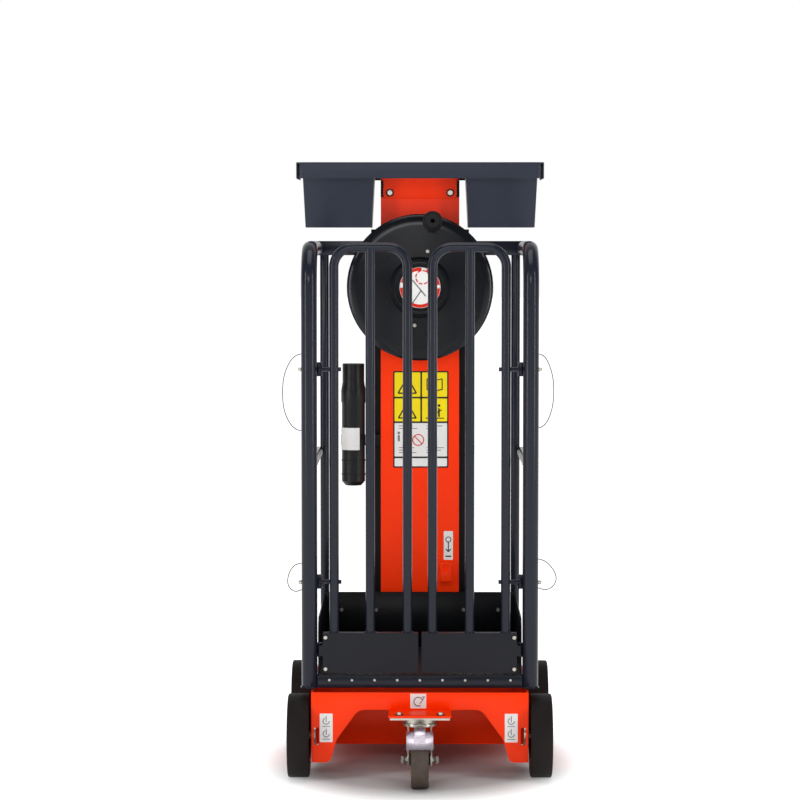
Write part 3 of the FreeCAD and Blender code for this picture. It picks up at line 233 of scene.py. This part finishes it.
# Fasteners: zinc-plated hexagon bolts on dark washers, which hold the tray's bracket, the toe
# board, the castor's plate and wheel, the chassis's back panel and the winch's face.
def skin(sections, ring=False):
    """Rows of section points joined by quads, the last row to the first in a ring, else with flat ends.
    The sign of the volume, the sum of a . (b x c) over the faces' triangles, turns it right side out."""
    rows, columns = sections.shape[:2]
    row, column = np.arange(rows if ring else rows - 1)[:, None], np.arange(columns)[None, :]
    after, beside = (row + 1) % rows, (column + 1) % columns
    quads = np.stack([row * columns + column, row * columns + beside, after * columns + beside,
                      after * columns + column], -1).reshape(-1, 4)
    ends = np.array([np.arange(columns)[::-1], np.arange(columns) + (rows - 1) * columns])[:0 if ring else 2]
    points = sections.reshape(-1, 3)
    fans = [np.stack([face[:, :1].repeat(face.shape[1] - 2, 1), face[:, 1:-1], face[:, 2:]], -1)
            .reshape(-1, 3) for face in (quads, ends) if len(face)]
    a, b, c = (points[np.concatenate(fans)[:, corner]] for corner in range(3))
    order = 1 if np.einsum("ij,ij->i", a, np.cross(b, c)).sum() > 0 else -1
    return points, [face[::order] for face in quads.tolist() + ends.tolist()]


def placed(height, radius, around, centre, axis):
    """The point at a height along an axis and a radius round it: centre + height + radius * (cos, sin)."""
    along = "XYZ".index(axis)
    points = np.zeros((*np.broadcast(height, radius, around).shape, 3))
    points[..., along] = height
    points[..., (along + 1) % 3] = radius * np.cos(around)
    points[..., (along + 2) % 3] = radius * np.sin(around)
    return (points + np.array(centre)) / 1000


def turned(profile, centre, axis, sides=28):
    """A profile of (height, radius) in mm carried once round an axis through a centre, with flat ends."""
    height, radius = np.array(profile, float).T[:, :, None]
    return skin(placed(height, radius, np.arange(sides) * 2 * math.pi / sides, centre, axis))


def bowed(section, centre, axis, start, sweep, steps=32):
    """A closed section of (height, radius) in mm carried round an axis, from start over sweep degrees."""
    height, radius = np.array(section, float).T[:, None, :]
    around = np.radians(start + sweep * np.arange(steps if sweep == 360 else steps + 1) / steps)[:, None]
    return skin(placed(height, radius, around, centre, axis), ring=sweep == 360)


def film(outline, front, back):
    """A flat shape facing the front: its outline of (x, z) in mm, from the depth front to the depth back."""
    outline = np.array(outline, float)
    depth = np.array([front, back])[:, None] + np.zeros(len(outline))
    return skin(np.stack([outline[:, 0] + 0 * depth, depth, outline[:, 1] + 0 * depth], -1) / 1000)


def rounded(low_x, high_x, low_z, high_z, corner=2.0, steps=4):
    """The outline of a rectangle with round corners: each corner's centre plus corner * (cos, sin)."""
    turn = np.radians(np.add.outer([0, 90, 180, 270], np.linspace(0, 90, steps)))
    middle = np.array([(high_x - corner, high_z - corner), (low_x + corner, high_z - corner),
                       (low_x + corner, low_z + corner), (high_x - corner, low_z + corner)])[:, None]
    return (middle + corner * np.stack([np.cos(turn), np.sin(turn)], -1)).reshape(-1, 2)


def stroke(start, end, width):
    """The outline of a straight printed line: its two ends moved half its width to both sides."""
    start, end = np.array(start, float), np.array(end, float)
    side = (end - start)[::-1] * (-1, 1) / np.linalg.norm(end - start) * width / 2
    return np.array([start - side, end - side, end + side, start + side])


def fitted(name, parts, material, body, edge_mm=0.0):
    """Join finished shapes into one piece with its place in its mesh, and fix it to a body."""
    counts = np.cumsum([0] + [len(points) for points, _ in parts])
    mesh = bpy.data.meshes.new(name)
    mesh.from_pydata(np.concatenate([points for points, _ in parts]).tolist(), [],
                     [[corner + count for corner in face] for (_, faces), count in zip(parts, counts)
                      for face in faces])
    mesh.materials.append(material)
    piece = bpy.data.objects.new(name, mesh)
    bpy.context.scene.collection.objects.link(piece)
    if edge_mm:
        bevel = piece.modifiers.new("edges", "BEVEL")
        bevel.width, bevel.segments = edge_mm / 1000, 2
        bevel.limit_method, bevel.angle_limit = "ANGLE", math.radians(40)
    piece.modifiers.new("shade", "NODES").node_group = smooth
    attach(piece, body)
    return piece


def hexagon_bolt(centre, axis, outward, across, head):
    """A bolt's head: a six-sided prism that narrows over its top fifth, standing outward on its seat."""
    radius = across / math.sqrt(3)
    return turned([(0, radius), (outward * head * 0.8, radius), (outward * head, radius * 0.86)],
                  centre, axis, 6)


WASHER_THICK = 1.6


def washer(centre, axis, outward, radius, thick=WASHER_THICK):
    """A flat disc under a bolt's head, or a rivet's head, with a chamfered rim."""
    return turned([(0, radius), (outward * thick * 0.6, radius), (outward * thick, radius - 0.6)],
                  centre, axis)


SEATS = [
    # piece, body, its bolts' seats (x, y, z) in mm, axis, way out (0: away from the middle), across flats
    ("tray_bracket_bolts", "carriage", [(-85, 290, 1560), (85, 290, 1560)], "Y", -1, 15),
    ("toe_board_bolts", "carriage", [(x, 262, 379) for x in (-124, 124, -222, 222)], "Y", -1, 10),
    ("castor_flange_bolts", "chassis", [(x, y, 190) for y in (-364, -276) for x in (-54, 54)], "Z", 1, 15),
    ("castor_nuts", "castor_swivel", [(-40, -374, 75), (40, -374, 75)], "X", 0, 19),
    ("back_panel_bolts", "chassis", [(side * x, 440, z) for side in (-1, 1) for x in (262, 160)
                                     for z in (76, 170)], "Y", 1, 13),
    ("winch_face_bolts", "carriage", [(-50, 205, 1294), (50, 205, 1294), (0, 205, 1244), (0, 205, 1344)],
     "Y", -1, 10),
]
HEAD_SHARE = 0.4  # a head's height as a share of its width across the flats
WASHER_SHARE = 0.75  # a washer's radius as a share of that width
dark_washer = powder_coat("black_oxide_washer", "#1b1a1c", "#262427", 0.4, 0.8, 0.02)
for name, body, seats, axis, way, across in SEATS:
    outs = [way or int(math.copysign(1, seat[0])) for seat in seats]
    lifted = [np.array(seat) + WASHER_THICK * out * np.eye(3)["XYZ".index(axis)]
              for seat, out in zip(seats, outs)]
    heads = [hexagon_bolt(seat, axis, out, across, across * HEAD_SHARE) for seat, out in zip(lifted, outs)]
    washers = [washer(seat, axis, out, across * WASHER_SHARE) for seat, out in zip(seats, outs)]
    fitted(name, heads, zinc, body)
    fitted(name + "_washers", washers, dark_washer, body)

# Cover labels: satin polyester films stuck on the cover, printed with plain pictograms of no
# maker: a triangle, a book, a tipping load and a ring. Each layer stands a little further out.
white_film = powder_coat("white_label_film", "#e4e2e0", "#d8d6d4", 0.4, 2.0, 0.01)
yellow_film = powder_coat("yellow_label_film", "#f2d90c", "#e6cc08", 0.4, 2.0, 0.01)
black_ink = powder_coat("black_label_ink", "#121212", "#1c1c1c", 0.45, 2.0, 0.01)
red_ink = powder_coat("red_label_ink", "#d2260f", "#c22009", 0.45, 2.0, 0.01)
grey_ink = powder_coat("grey_label_ink", "#6d6c6e", "#7a797b", 0.45, 2.0, 0.01)
COVER = 294
YELLOW_CELLS = [(-72, 1, 983, 1052), (6, 77, 983, 1052), (-72, 1, 913, 978), (6, 77, 913, 978)]
WHITE_CELLS = [(-72, 77, 813, 908), (-72, 77, 785, 808)]
BORDER_THICK, CELL_THICK, SIGN_THICK = 0.2, 0.35, 0.5


def stuck(outlines, face, thick):
    """Films stuck on a face that looks to the front, each standing forward of it by its thickness."""
    return [film(outline, face - thick, face) for outline in outlines]


def printed_ring(inner, outer, middle, face, thick, start=0, sweep=360):
    """A flat ring or arc round a middle (x, z) on that face, from one radius to the other."""
    section = [(-thick, inner), (-thick, outer), (0, outer), (0, inner)]
    return bowed(section, (middle[0], face, middle[1]), "Y", start, sweep)


def triangle_sign(x, z, size):
    """A warning triangle's three bars, and one bar with a dot inside it, round a middle (x, z)."""
    third = 2 * math.pi / 3
    tips = [(x + size * math.sin(turn), z + size * math.cos(turn)) for turn in (0, third, -third)]
    bars = [stroke(tips[side], tips[side - 1], size * 0.14) for side in range(3)]
    return bars + [stroke((x, z + size * 0.42), (x, z - size * 0.12), size * 0.15),
                   rounded(x - size * 0.09, x + size * 0.09, z - size * 0.36, z - size * 0.2, size * 0.05)]


# printed strokes, each from one (x, z) to another, with its width
BOOK = [((20, 1002), (20, 1034), 3), ((41.5, 1002), (41.5, 1034), 3), ((63, 1002), (63, 1034), 3),
        ((20, 1034), (41.5, 1029), 3), ((20, 1004), (41.5, 999), 3),
        ((41.5, 1029), (63, 1034), 3), ((41.5, 999), (63, 1004), 3)]
TIPPING = [((16, 922), (68, 922), 3), ((24, 924), (24, 968), 4), ((24, 966), (44, 966), 4),
           ((54, 926), (54, 950), 5), ((48, 938), (62, 946), 3)]
TEXT_LINES = [
    # left end x, height z, length of a line that stands for words
    (-60, 900, 40), (-60, 893, 52), (-60, 838, 44), (-60, 831, 30), (-60, 824, 50),
    (18, 900, 46), (18, 893, 30), (18, 838, 50), (18, 831, 42), (18, 824, 26),
]
TEXT_WIDTH = 2.2
fitted("cover_label_border", stuck([rounded(-76, 81, 781, 1056, 4)], COVER, BORDER_THICK), black_ink,
       "carriage")
fitted("cover_label_yellow", stuck([rounded(*cell) for cell in YELLOW_CELLS], COVER, CELL_THICK),
       yellow_film, "carriage")
fitted("cover_label_white", stuck([rounded(*cell) for cell in WHITE_CELLS], COVER, CELL_THICK), white_film,
       "carriage")
signs = triangle_sign(-36, 1008, 30) + triangle_sign(-36, 937, 29)
signs += [stroke(*line) for line in BOOK + TIPPING]
fitted("cover_label_signs", stuck(signs + [rounded(50, 58, 954, 962, 3.9)], COVER, SIGN_THICK), black_ink,
       "carriage")
faint = [stroke((x, z), (x + wide, z), TEXT_WIDTH) for x, z, wide in TEXT_LINES]
person = [rounded(-64, -56, 876, 884, 3.9), stroke((-60, 874), (-60, 856), 6)]
fitted("cover_label_lines", stuck(faint + person, COVER, SIGN_THICK), grey_ink, "carriage")
fitted("cover_label_ring", [printed_ring(14, 17, (-5, 860), COVER, SIGN_THICK)]
       + stuck([stroke((-16, 871), (6, 849), 3)], COVER, SIGN_THICK), red_ink, "carriage")

# Anchor label: a small white film beside the harness anchor, with a ring over an arrow that points
# down at a bar.
ANCHOR_THICK, ANCHOR_SIGN_THICK = 0.3, 0.45
ARROW = [((81, 568), (81, 544), 3), ((74, 549), (81, 541), 3), ((88, 549), (81, 541), 3),
         ((73, 528), (89, 528), 4)]
fitted("anchor_label", stuck([rounded(68, 94, 518, 600)], COVER, ANCHOR_THICK), white_film, "carriage")
fitted("anchor_label_sign", [printed_ring(6, 8.5, (81, 576), COVER, ANCHOR_SIGN_THICK)]
       + stuck([stroke(*line) for line in ARROW], COVER, ANCHOR_SIGN_THICK), black_ink, "carriage")

# Portal labels: three white films on the front panel, with grey lashing hooks on the outer two
# and a turning arrow in the middle. A bare rating plate is screwed to the back panel.
PORTAL, BACK_PANEL = -288, 440
PORTAL_THICK, PORTAL_SIGN_THICK, RATING_THICK = 0.25, 0.4, 0.6
portal_films = [rounded(-25, 17, 194, 233)]
hooks = [printed_ring(10, 13, (-4, 212), PORTAL, PORTAL_SIGN_THICK, 150, 285)]
marks = [stroke((0, 206), (12, 224), 2.4), stroke((5, 224), (13, 225), 2.4)]
for left in (-264, 224):
    portal_films.append(rounded(left, left + 34, 104, 180))
    for middle in (160, 126):
        hooks.append(printed_ring(7, 9.5, (left + 17, middle), PORTAL, PORTAL_SIGN_THICK, 90, 250))
        marks += [stroke((left + 17, middle - 3), (left + 17, middle + 14), 2.4),
                  stroke((left + 7, middle - 14), (left + 27, middle - 14), 2)]
fitted("portal_labels", stuck(portal_films, PORTAL, PORTAL_THICK), white_film, "chassis")
fitted("portal_label_signs", hooks + stuck(marks, PORTAL, PORTAL_SIGN_THICK), grey_ink, "chassis")
fitted("rating_plate", [film(rounded(-60, 60, 100, 160, 4), BACK_PANEL + RATING_THICK, BACK_PANEL)], zinc,
       "chassis", 0.2)

# Crank trim: two ridges moulded round the hub, two screws in the disc, the print on the hub's
# white label, and the grip's ribs and bolt.
HUB = (0, 0, 1294)
HUB_FACE, HUB_SIGN_THICK, DISC_FACE = 191, 0.5, 216
HUB_RIDGES = [[(190.6, 66), (189.9, 68), (189.9, 71), (190.6, 73), (194.5, 73), (194.5, 66)],
              [(194, 75.5), (192.6, 76.5), (192.6, 78), (194, 79), (195, 79), (195, 75.5)]]
fitted("disc_ribs", [bowed(ridge, HUB, "Y", 0, 360, 64) for ridge in HUB_RIDGES], disc_plastic, "crank")
fitted("disc_screws", [hexagon_bolt((x, DISC_FACE, z), "Y", -1, 10, 4)
                       for x, z in ((21, 1395), (-15, 1188))], zinc, "crank")
BROKEN_RING = [(20, 62), (92, 40), (150, 70), (240, 30), (285, 80)]
HUB_PRINT = HUB_FACE - HUB_SIGN_THICK
dash = [(HUB_PRINT, 17), (HUB_PRINT, 20.5), (HUB_FACE, 20.5), (HUB_FACE, 17)]
fitted("hub_label_ring", [printed_ring(47, 56, (HUB[0], HUB[2]), HUB_FACE, HUB_SIGN_THICK, start, sweep)
                          for start, sweep in BROKEN_RING]
       + [bowed(dash, (7, 0, 1323), "Y", start, 32, 6) for start in range(0, 360, 45)], red_ink, "crank")
fitted("hub_label_marks", stuck([stroke((-21, 1315), (16, 1270), 3.5), stroke((4, 1287), (-21, 1251), 3.5)],
                                HUB_FACE, HUB_SIGN_THICK), grey_ink, "crank")
GRIP_AXIS = (35, 0, 1479.7)
GRIP_FRONT = 146
fitted("grip_rings", [bowed([(y, 17), (y, 19.6), (y + 3, 19.6), (y + 3, 17)], GRIP_AXIS, "Y", 0, 360)
                      for y in (GRIP_FRONT, 154, 162, 198)], grip_plastic, "crank", 0.6)
fitted("grip_bolt", [hexagon_bolt((GRIP_AXIS[0], GRIP_FRONT, GRIP_AXIS[2]), "Y", -1, 13, 6)], zinc, "crank")

# Document tube trim: a white film wrapped round the tube's clamp over 100 degrees, and three
# rings moulded round the tube.
TUBE = (-189, 300, 0)
CLAMP_RADIUS, WRAP_THICK, RING_HEIGHT = 36, 0.5, 5
wrap = np.radians(np.linspace(200, 300, 24))[:, None]
wrap_radius = np.array([CLAMP_RADIUS + WRAP_THICK, CLAMP_RADIUS + WRAP_THICK, CLAMP_RADIUS, CLAMP_RADIUS])
fitted("document_label", [skin(placed(np.array([833, 896, 896, 833]), wrap_radius, wrap, TUBE, "Z"))],
       white_film, "carriage")
fitted("document_tube_rings", [
    bowed([(z, 32), (z, 34.2), (z + RING_HEIGHT, 34.2), (z + RING_HEIGHT, 32)], TUBE, "Z", 0, 360)
    for z in (760, 800, 1000)], tube_plastic, "carriage", 0.8)

# Deck tread and edge: raised lozenges pressed in the deck sheet in alternate directions, 1.6 mm
# high at a pitch of about 27 mm, and a notched strip riveted along the front edge.
COLUMNS, ROWS = 20, 18
PITCH_X, PITCH_Y, TREAD_MIDDLE_Y = 26.5, 27.0, 10
DECK_TOP, TREAD_SUNK, TREAD_RISE = 274.0, 0.1, 1.6
column, row = np.meshgrid(np.arange(COLUMNS), np.arange(ROWS))
middle_x = (column.ravel() - (COLUMNS - 1) / 2) * PITCH_X
middle_y = (row.ravel() - (ROWS - 1) / 2) * PITCH_Y + TREAD_MIDDLE_Y
lean = np.where((column + row).ravel() % 2, 1, -1) * math.radians(45)
foot = np.array([(-10, 0), (-5, -2.6), (5, -2.6), (10, 0), (5, 2.6), (-5, 2.6)])
crest = np.array([(-6, 0), (-3.5, -1), (3.5, -1), (6, 0), (3.5, 1), (-3.5, 1)])
stud = np.concatenate([foot, crest])
rise = np.repeat([DECK_TOP - TREAD_SUNK, DECK_TOP + TREAD_RISE], len(foot))
# a stud's corner (a, b) leans to (a cos t - b sin t, a sin t + b cos t) round its middle
tread = np.stack([
    middle_x[:, None] + stud[:, 0] * np.cos(lean)[:, None] - stud[:, 1] * np.sin(lean)[:, None],
    middle_y[:, None] + stud[:, 0] * np.sin(lean)[:, None] + stud[:, 1] * np.cos(lean)[:, None],
    np.broadcast_to(rise, (len(lean), len(stud)))], -1) / 1000
stud_faces = skin(tread[:1].reshape(2, len(foot), 3))[1]
fitted("deck_tread", [(each, stud_faces) for each in tread], kick_coat, "carriage")
NOTCHES, NOTCH_TOP, EDGE_LOW, EDGE_HALF = 61, 277.6, 273.8, 262
EDGE_FRONT, EDGE_BACK = -247.5, -243
notch = np.tile([DECK_TOP, NOTCH_TOP, NOTCH_TOP, DECK_TOP], NOTCHES)
along = np.linspace(-EDGE_HALF, EDGE_HALF, len(notch))
edge = np.stack([
    np.stack([along, np.full(len(notch), depth), np.where(low, EDGE_LOW, notch)], -1)
    for depth, low in ((EDGE_FRONT, True), (EDGE_FRONT, False), (EDGE_BACK, False), (EDGE_BACK, True))], 1)
fitted("deck_edge_strip", [skin(edge / 1000)], kick_coat, "carriage")
RIVET_RADIUS, RIVET_THICK = 3.4, 1.2
fitted("deck_edge_rivets", [washer((x, -247.9, 262), "Y", -1, RIVET_RADIUS, RIVET_THICK)
                            for x in range(-240, 241, 60)], zinc, "carriage")


# Weld beads and hinge bolts: rings of overlapping puddles where each bar of a gate stands on its
# kick plate and where the posts stand on the deck frame, coated with the metal.
def bead(x, y, z, radius, thick=2.4):
    """A weld round a bar: a round section of thick * (1 + 0.25 sin 9t), its ripple, carried at a radius."""
    round_bar = np.radians(np.arange(0, 360, 5))[:, None]
    turn = np.radians(np.arange(0, 360, 45))
    size = thick * (1 + 0.25 * np.sin(9 * round_bar))
    ripple = placed(size * np.sin(turn), radius + size * np.cos(turn), round_bar, (x, y, z), "Z")
    return skin(ripple, ring=True)


GATE_BARS = (33, 131.5, 227)
BAR_Y, KICK_FACE = -236, -248.5
for side, name in ((-1, "left"), (1, "right")):
    fitted(f"gate_welds_{name}", [bead(side * x, BAR_Y, 388.5, 12.4) for x in GATE_BARS], slate_coat,
           f"gate_{name}")
    fitted(f"hinge_bolts_{name}", [hexagon_bolt((side * 250, KICK_FACE, z), "Y", -1, 10, 3.5)
                                   for z in (376, 292)], zinc, f"gate_{name}")
fitted("post_welds", [bead(side * 292.5, BAR_Y, 243, 20.6, 3) for side in (-1, 1)], slate_coat, "carriage")

# Bracket edge clips: black rubber edging in knuckles about 7.5 mm apart, pressed on both upright
# edges of the tray's bracket. A knuckle's radius is 3.2 + 1.6 sin(0.42 h) squared at height h.
CLIP_X, CLIP_Y, CLIP_LOW, CLIP_HEIGHT = 107, 292, 1548, 46
knuckles = [(height, 3.2 + 1.6 * math.sin(height * 0.42) ** 2) for height in range(0, CLIP_HEIGHT + 1, 2)]
fitted("bracket_edge_clips", [turned(knuckles, (side * CLIP_X, CLIP_Y, CLIP_LOW), "Z", 14)
                              for side in (-1, 1)], grip_plastic, "carriage")

# Lanyards: 2.5 mm coated wire rope that ties each release pin to its post, bent into a stiff loop
# and fixed at both ends. Each is one spline through the source's route.
WIRES = [
    # name, side, pin height, length in m, route of (outwards, up) in mm from the post's skin
    ("upper_left", -1, 1086, 0.2419, [(0, 41), (15, 38), (33, 15), (46, -20), (49, -62), (46, -104),
                                      (33, -138), (15, -159), (0, -162)]),
    ("upper_right", 1, 1086, 0.2223, [(0, 41), (13, 38), (27, 13), (37, -22), (39, -60), (36, -98),
                                      (26, -130), (12, -151), (0, -154)]),
    ("lower_left", -1, 522, 0.1191, [(0, 50), (12, 49), (25, 38), (34, 20), (37, 0), (31, -17), (18, -25),
                                     (8, -24), (0, -20)]),
    ("lower_right", 1, 522, 0.1379, [(0, 62), (12, 60), (28, 48), (42, 30), (48, 10), (41, -9), (25, -19),
                                     (10, -19), (0, -15)]),
]
WIRE_MM = 2.5
POST_SKIN, POST_Y = 314.2, -236.0
wire_zinc = brushed_zinc("coated_wire_rope", "#5e5d60", "#323135", 0.45)
for name, side, height, length, legs in WIRES:
    legs = np.array(legs, float)
    route = np.stack([side * (POST_SKIN + legs[:, 0]), np.full(len(legs), POST_Y), height + legs[:, 1]], -1)
    route /= 1000
    curve = bpy.data.curves.new(f"lanyard_wire_{name}", "CURVE")
    curve.dimensions = "3D"
    curve.bevel_depth = WIRE_MM / 2000
    curve.bevel_resolution = 3
    curve.resolution_u = 8
    curve.use_fill_caps = True
    line = curve.splines.new("NURBS")
    line.points.add(len(route) - 1)
    line.points.foreach_set("co", np.hstack([route, np.ones((len(route), 1))]).ravel())
    line.order_u = 3
    line.use_endpoint_u = True
    curve.materials.append(wire_zinc)
    wire = bpy.data.objects.new(f"lanyard_wire_{name}", curve)
    bpy.context.scene.collection.objects.link(wire)
    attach(wire, "carriage")
    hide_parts(f"lanyard_{name}")


# Studio: a pale floor with a painted glow, an emission that rises away from the machine and turns it white
# there, while round the machine the floor stays grey with real shadow and painted shade, a sky that is white
# behind it and dim in front, soft boxes, and the camera of the photograph, 7 m in front of the front axle.
FLOOR_REACH = 60.0
SHADE_HALF_WIDTH, SHADE_HALF_LENGTH = 0.52, 0.7  # where the floor has turned white, in metres
GLOW_START = 0.55  # the share of that distance where it starts to
floor = bpy.data.meshes.new("studio_floor")
floor.from_pydata([(x * FLOOR_REACH, y * FLOOR_REACH, 0) for x, y in ((-1, -1), (1, -1), (1, 1), (-1, 1))],
                  [], [(0, 1, 2, 3)])
floor_piece = bpy.data.objects.new("studio_floor", floor)
bpy.context.scene.collection.objects.link(floor_piece)
floor_material, tree, output, place = blank_material("studio_floor_painted_glow")
scaled = add(tree, "ShaderNodeMapping", {"Vector": place, "Scale": (1 / SHADE_HALF_WIDTH,
                                                                  1 / SHADE_HALF_LENGTH, 1)})
away = add(tree, "ShaderNodeVectorMath", {0: scaled.outputs[0]}, operation="LENGTH")
# Painted glow: the floor emits white light, none inside GLOW_START of the oval and full at its edge, so the
# grey round the machine is painted shade as well as real shadow.
glow = add(tree, "ShaderNodeMapRange", {"Value": away.outputs["Value"], "From Min": GLOW_START,
                                        "From Max": 1.0, "To Min": 0.0, "To Max": 1.0},
           interpolation_type="SMOOTHSTEP")
shader = add(tree, "ShaderNodeBsdfPrincipled", {"Base Color": (0.62, 0.62, 0.62, 1), "Roughness": 0.9,
                                                "Specular IOR Level": 0.1,
                                                "Emission Color": (1, 1, 1, 1),
                                                "Emission Strength": glow.outputs["Result"]})
tree.links.new(shader.outputs["BSDF"], output.inputs["Surface"])
floor.materials.append(floor_material)

SKY_FRONT = 0.1  # the sky's strength in front of the machine; it is 1 behind it
world = bpy.data.worlds.new("white_studio")
world.use_nodes = True
tree = world.node_tree
direction = add(tree, "ShaderNodeTexCoord").outputs["Generated"]
sky_way = add(tree, "ShaderNodeSeparateXYZ", {"Vector": direction})
behind = add(tree, "ShaderNodeMapRange", {"Value": sky_way.outputs["Y"], "From Min": 0.0, "From Max": 0.9,
                                          "To Min": SKY_FRONT, "To Max": 1.0},
             interpolation_type="SMOOTHSTEP")
tree.links.new(behind.outputs["Result"], tree.nodes["Background"].inputs["Strength"])
tree.nodes["Background"].inputs["Color"].default_value = (1, 1, 1, 1)
bpy.context.scene.world = world
bpy.context.scene.view_settings.view_transform = "Standard"

LIGHTS = [
    # name, place, width and height in metres, watts
    ("strip_left", (-3.0, -2.4, 1.6), 0.5, 3.0, 50),
    ("strip_right", (3.0, -2.2, 1.6), 0.5, 3.0, 46),
    ("front_soft", (-0.8, -7.5, 3.4), 3.0, 1.6, 105),
    ("top_soft", (0.0, -0.6, 4.2), 2.4, 2.4, 55),
]
LIGHT_AIM = np.array([0.0, 0.0, 0.8])
for name, spot, width, height, watts in LIGHTS:
    lamp = bpy.data.lights.new(name, "AREA")
    lamp.shape = "RECTANGLE"
    lamp.size, lamp.size_y, lamp.energy = width, height, watts
    holder = bpy.data.objects.new(name, lamp)
    bpy.context.scene.collection.objects.link(holder)
    toward = LIGHT_AIM - np.array(spot)
    level = math.hypot(toward[0], toward[1])
    holder.rotation_euler = (math.atan2(level, -toward[2]), 0, math.atan2(-toward[0], toward[1]))
    holder.location = spot

# the photograph's focal length, horizon and middle in pixels of its 800 x 800 frame
FOCAL_PIXELS = 2655
IMAGE_PIXELS = 800
HORIZON_PIXEL = 241
MIDDLE_PIXEL = 420
CAMERA_PLACE = (0.0, -7.226, 1.424)
camera = bpy.data.cameras.new("photo_camera")
camera.sensor_width = 36
camera.lens = FOCAL_PIXELS / IMAGE_PIXELS * camera.sensor_width
camera.clip_end = 200
eye = bpy.data.objects.new("photo_camera", camera)
bpy.context.scene.collection.objects.link(eye)
eye.location = CAMERA_PLACE
pitch = math.atan((IMAGE_PIXELS / 2 - HORIZON_PIXEL) / FOCAL_PIXELS)
yaw = math.atan((MIDDLE_PIXEL - IMAGE_PIXELS / 2) / FOCAL_PIXELS)
eye.rotation_euler = (math.pi / 2 - pitch, 0, yaw)
bpy.context.scene.camera = eye
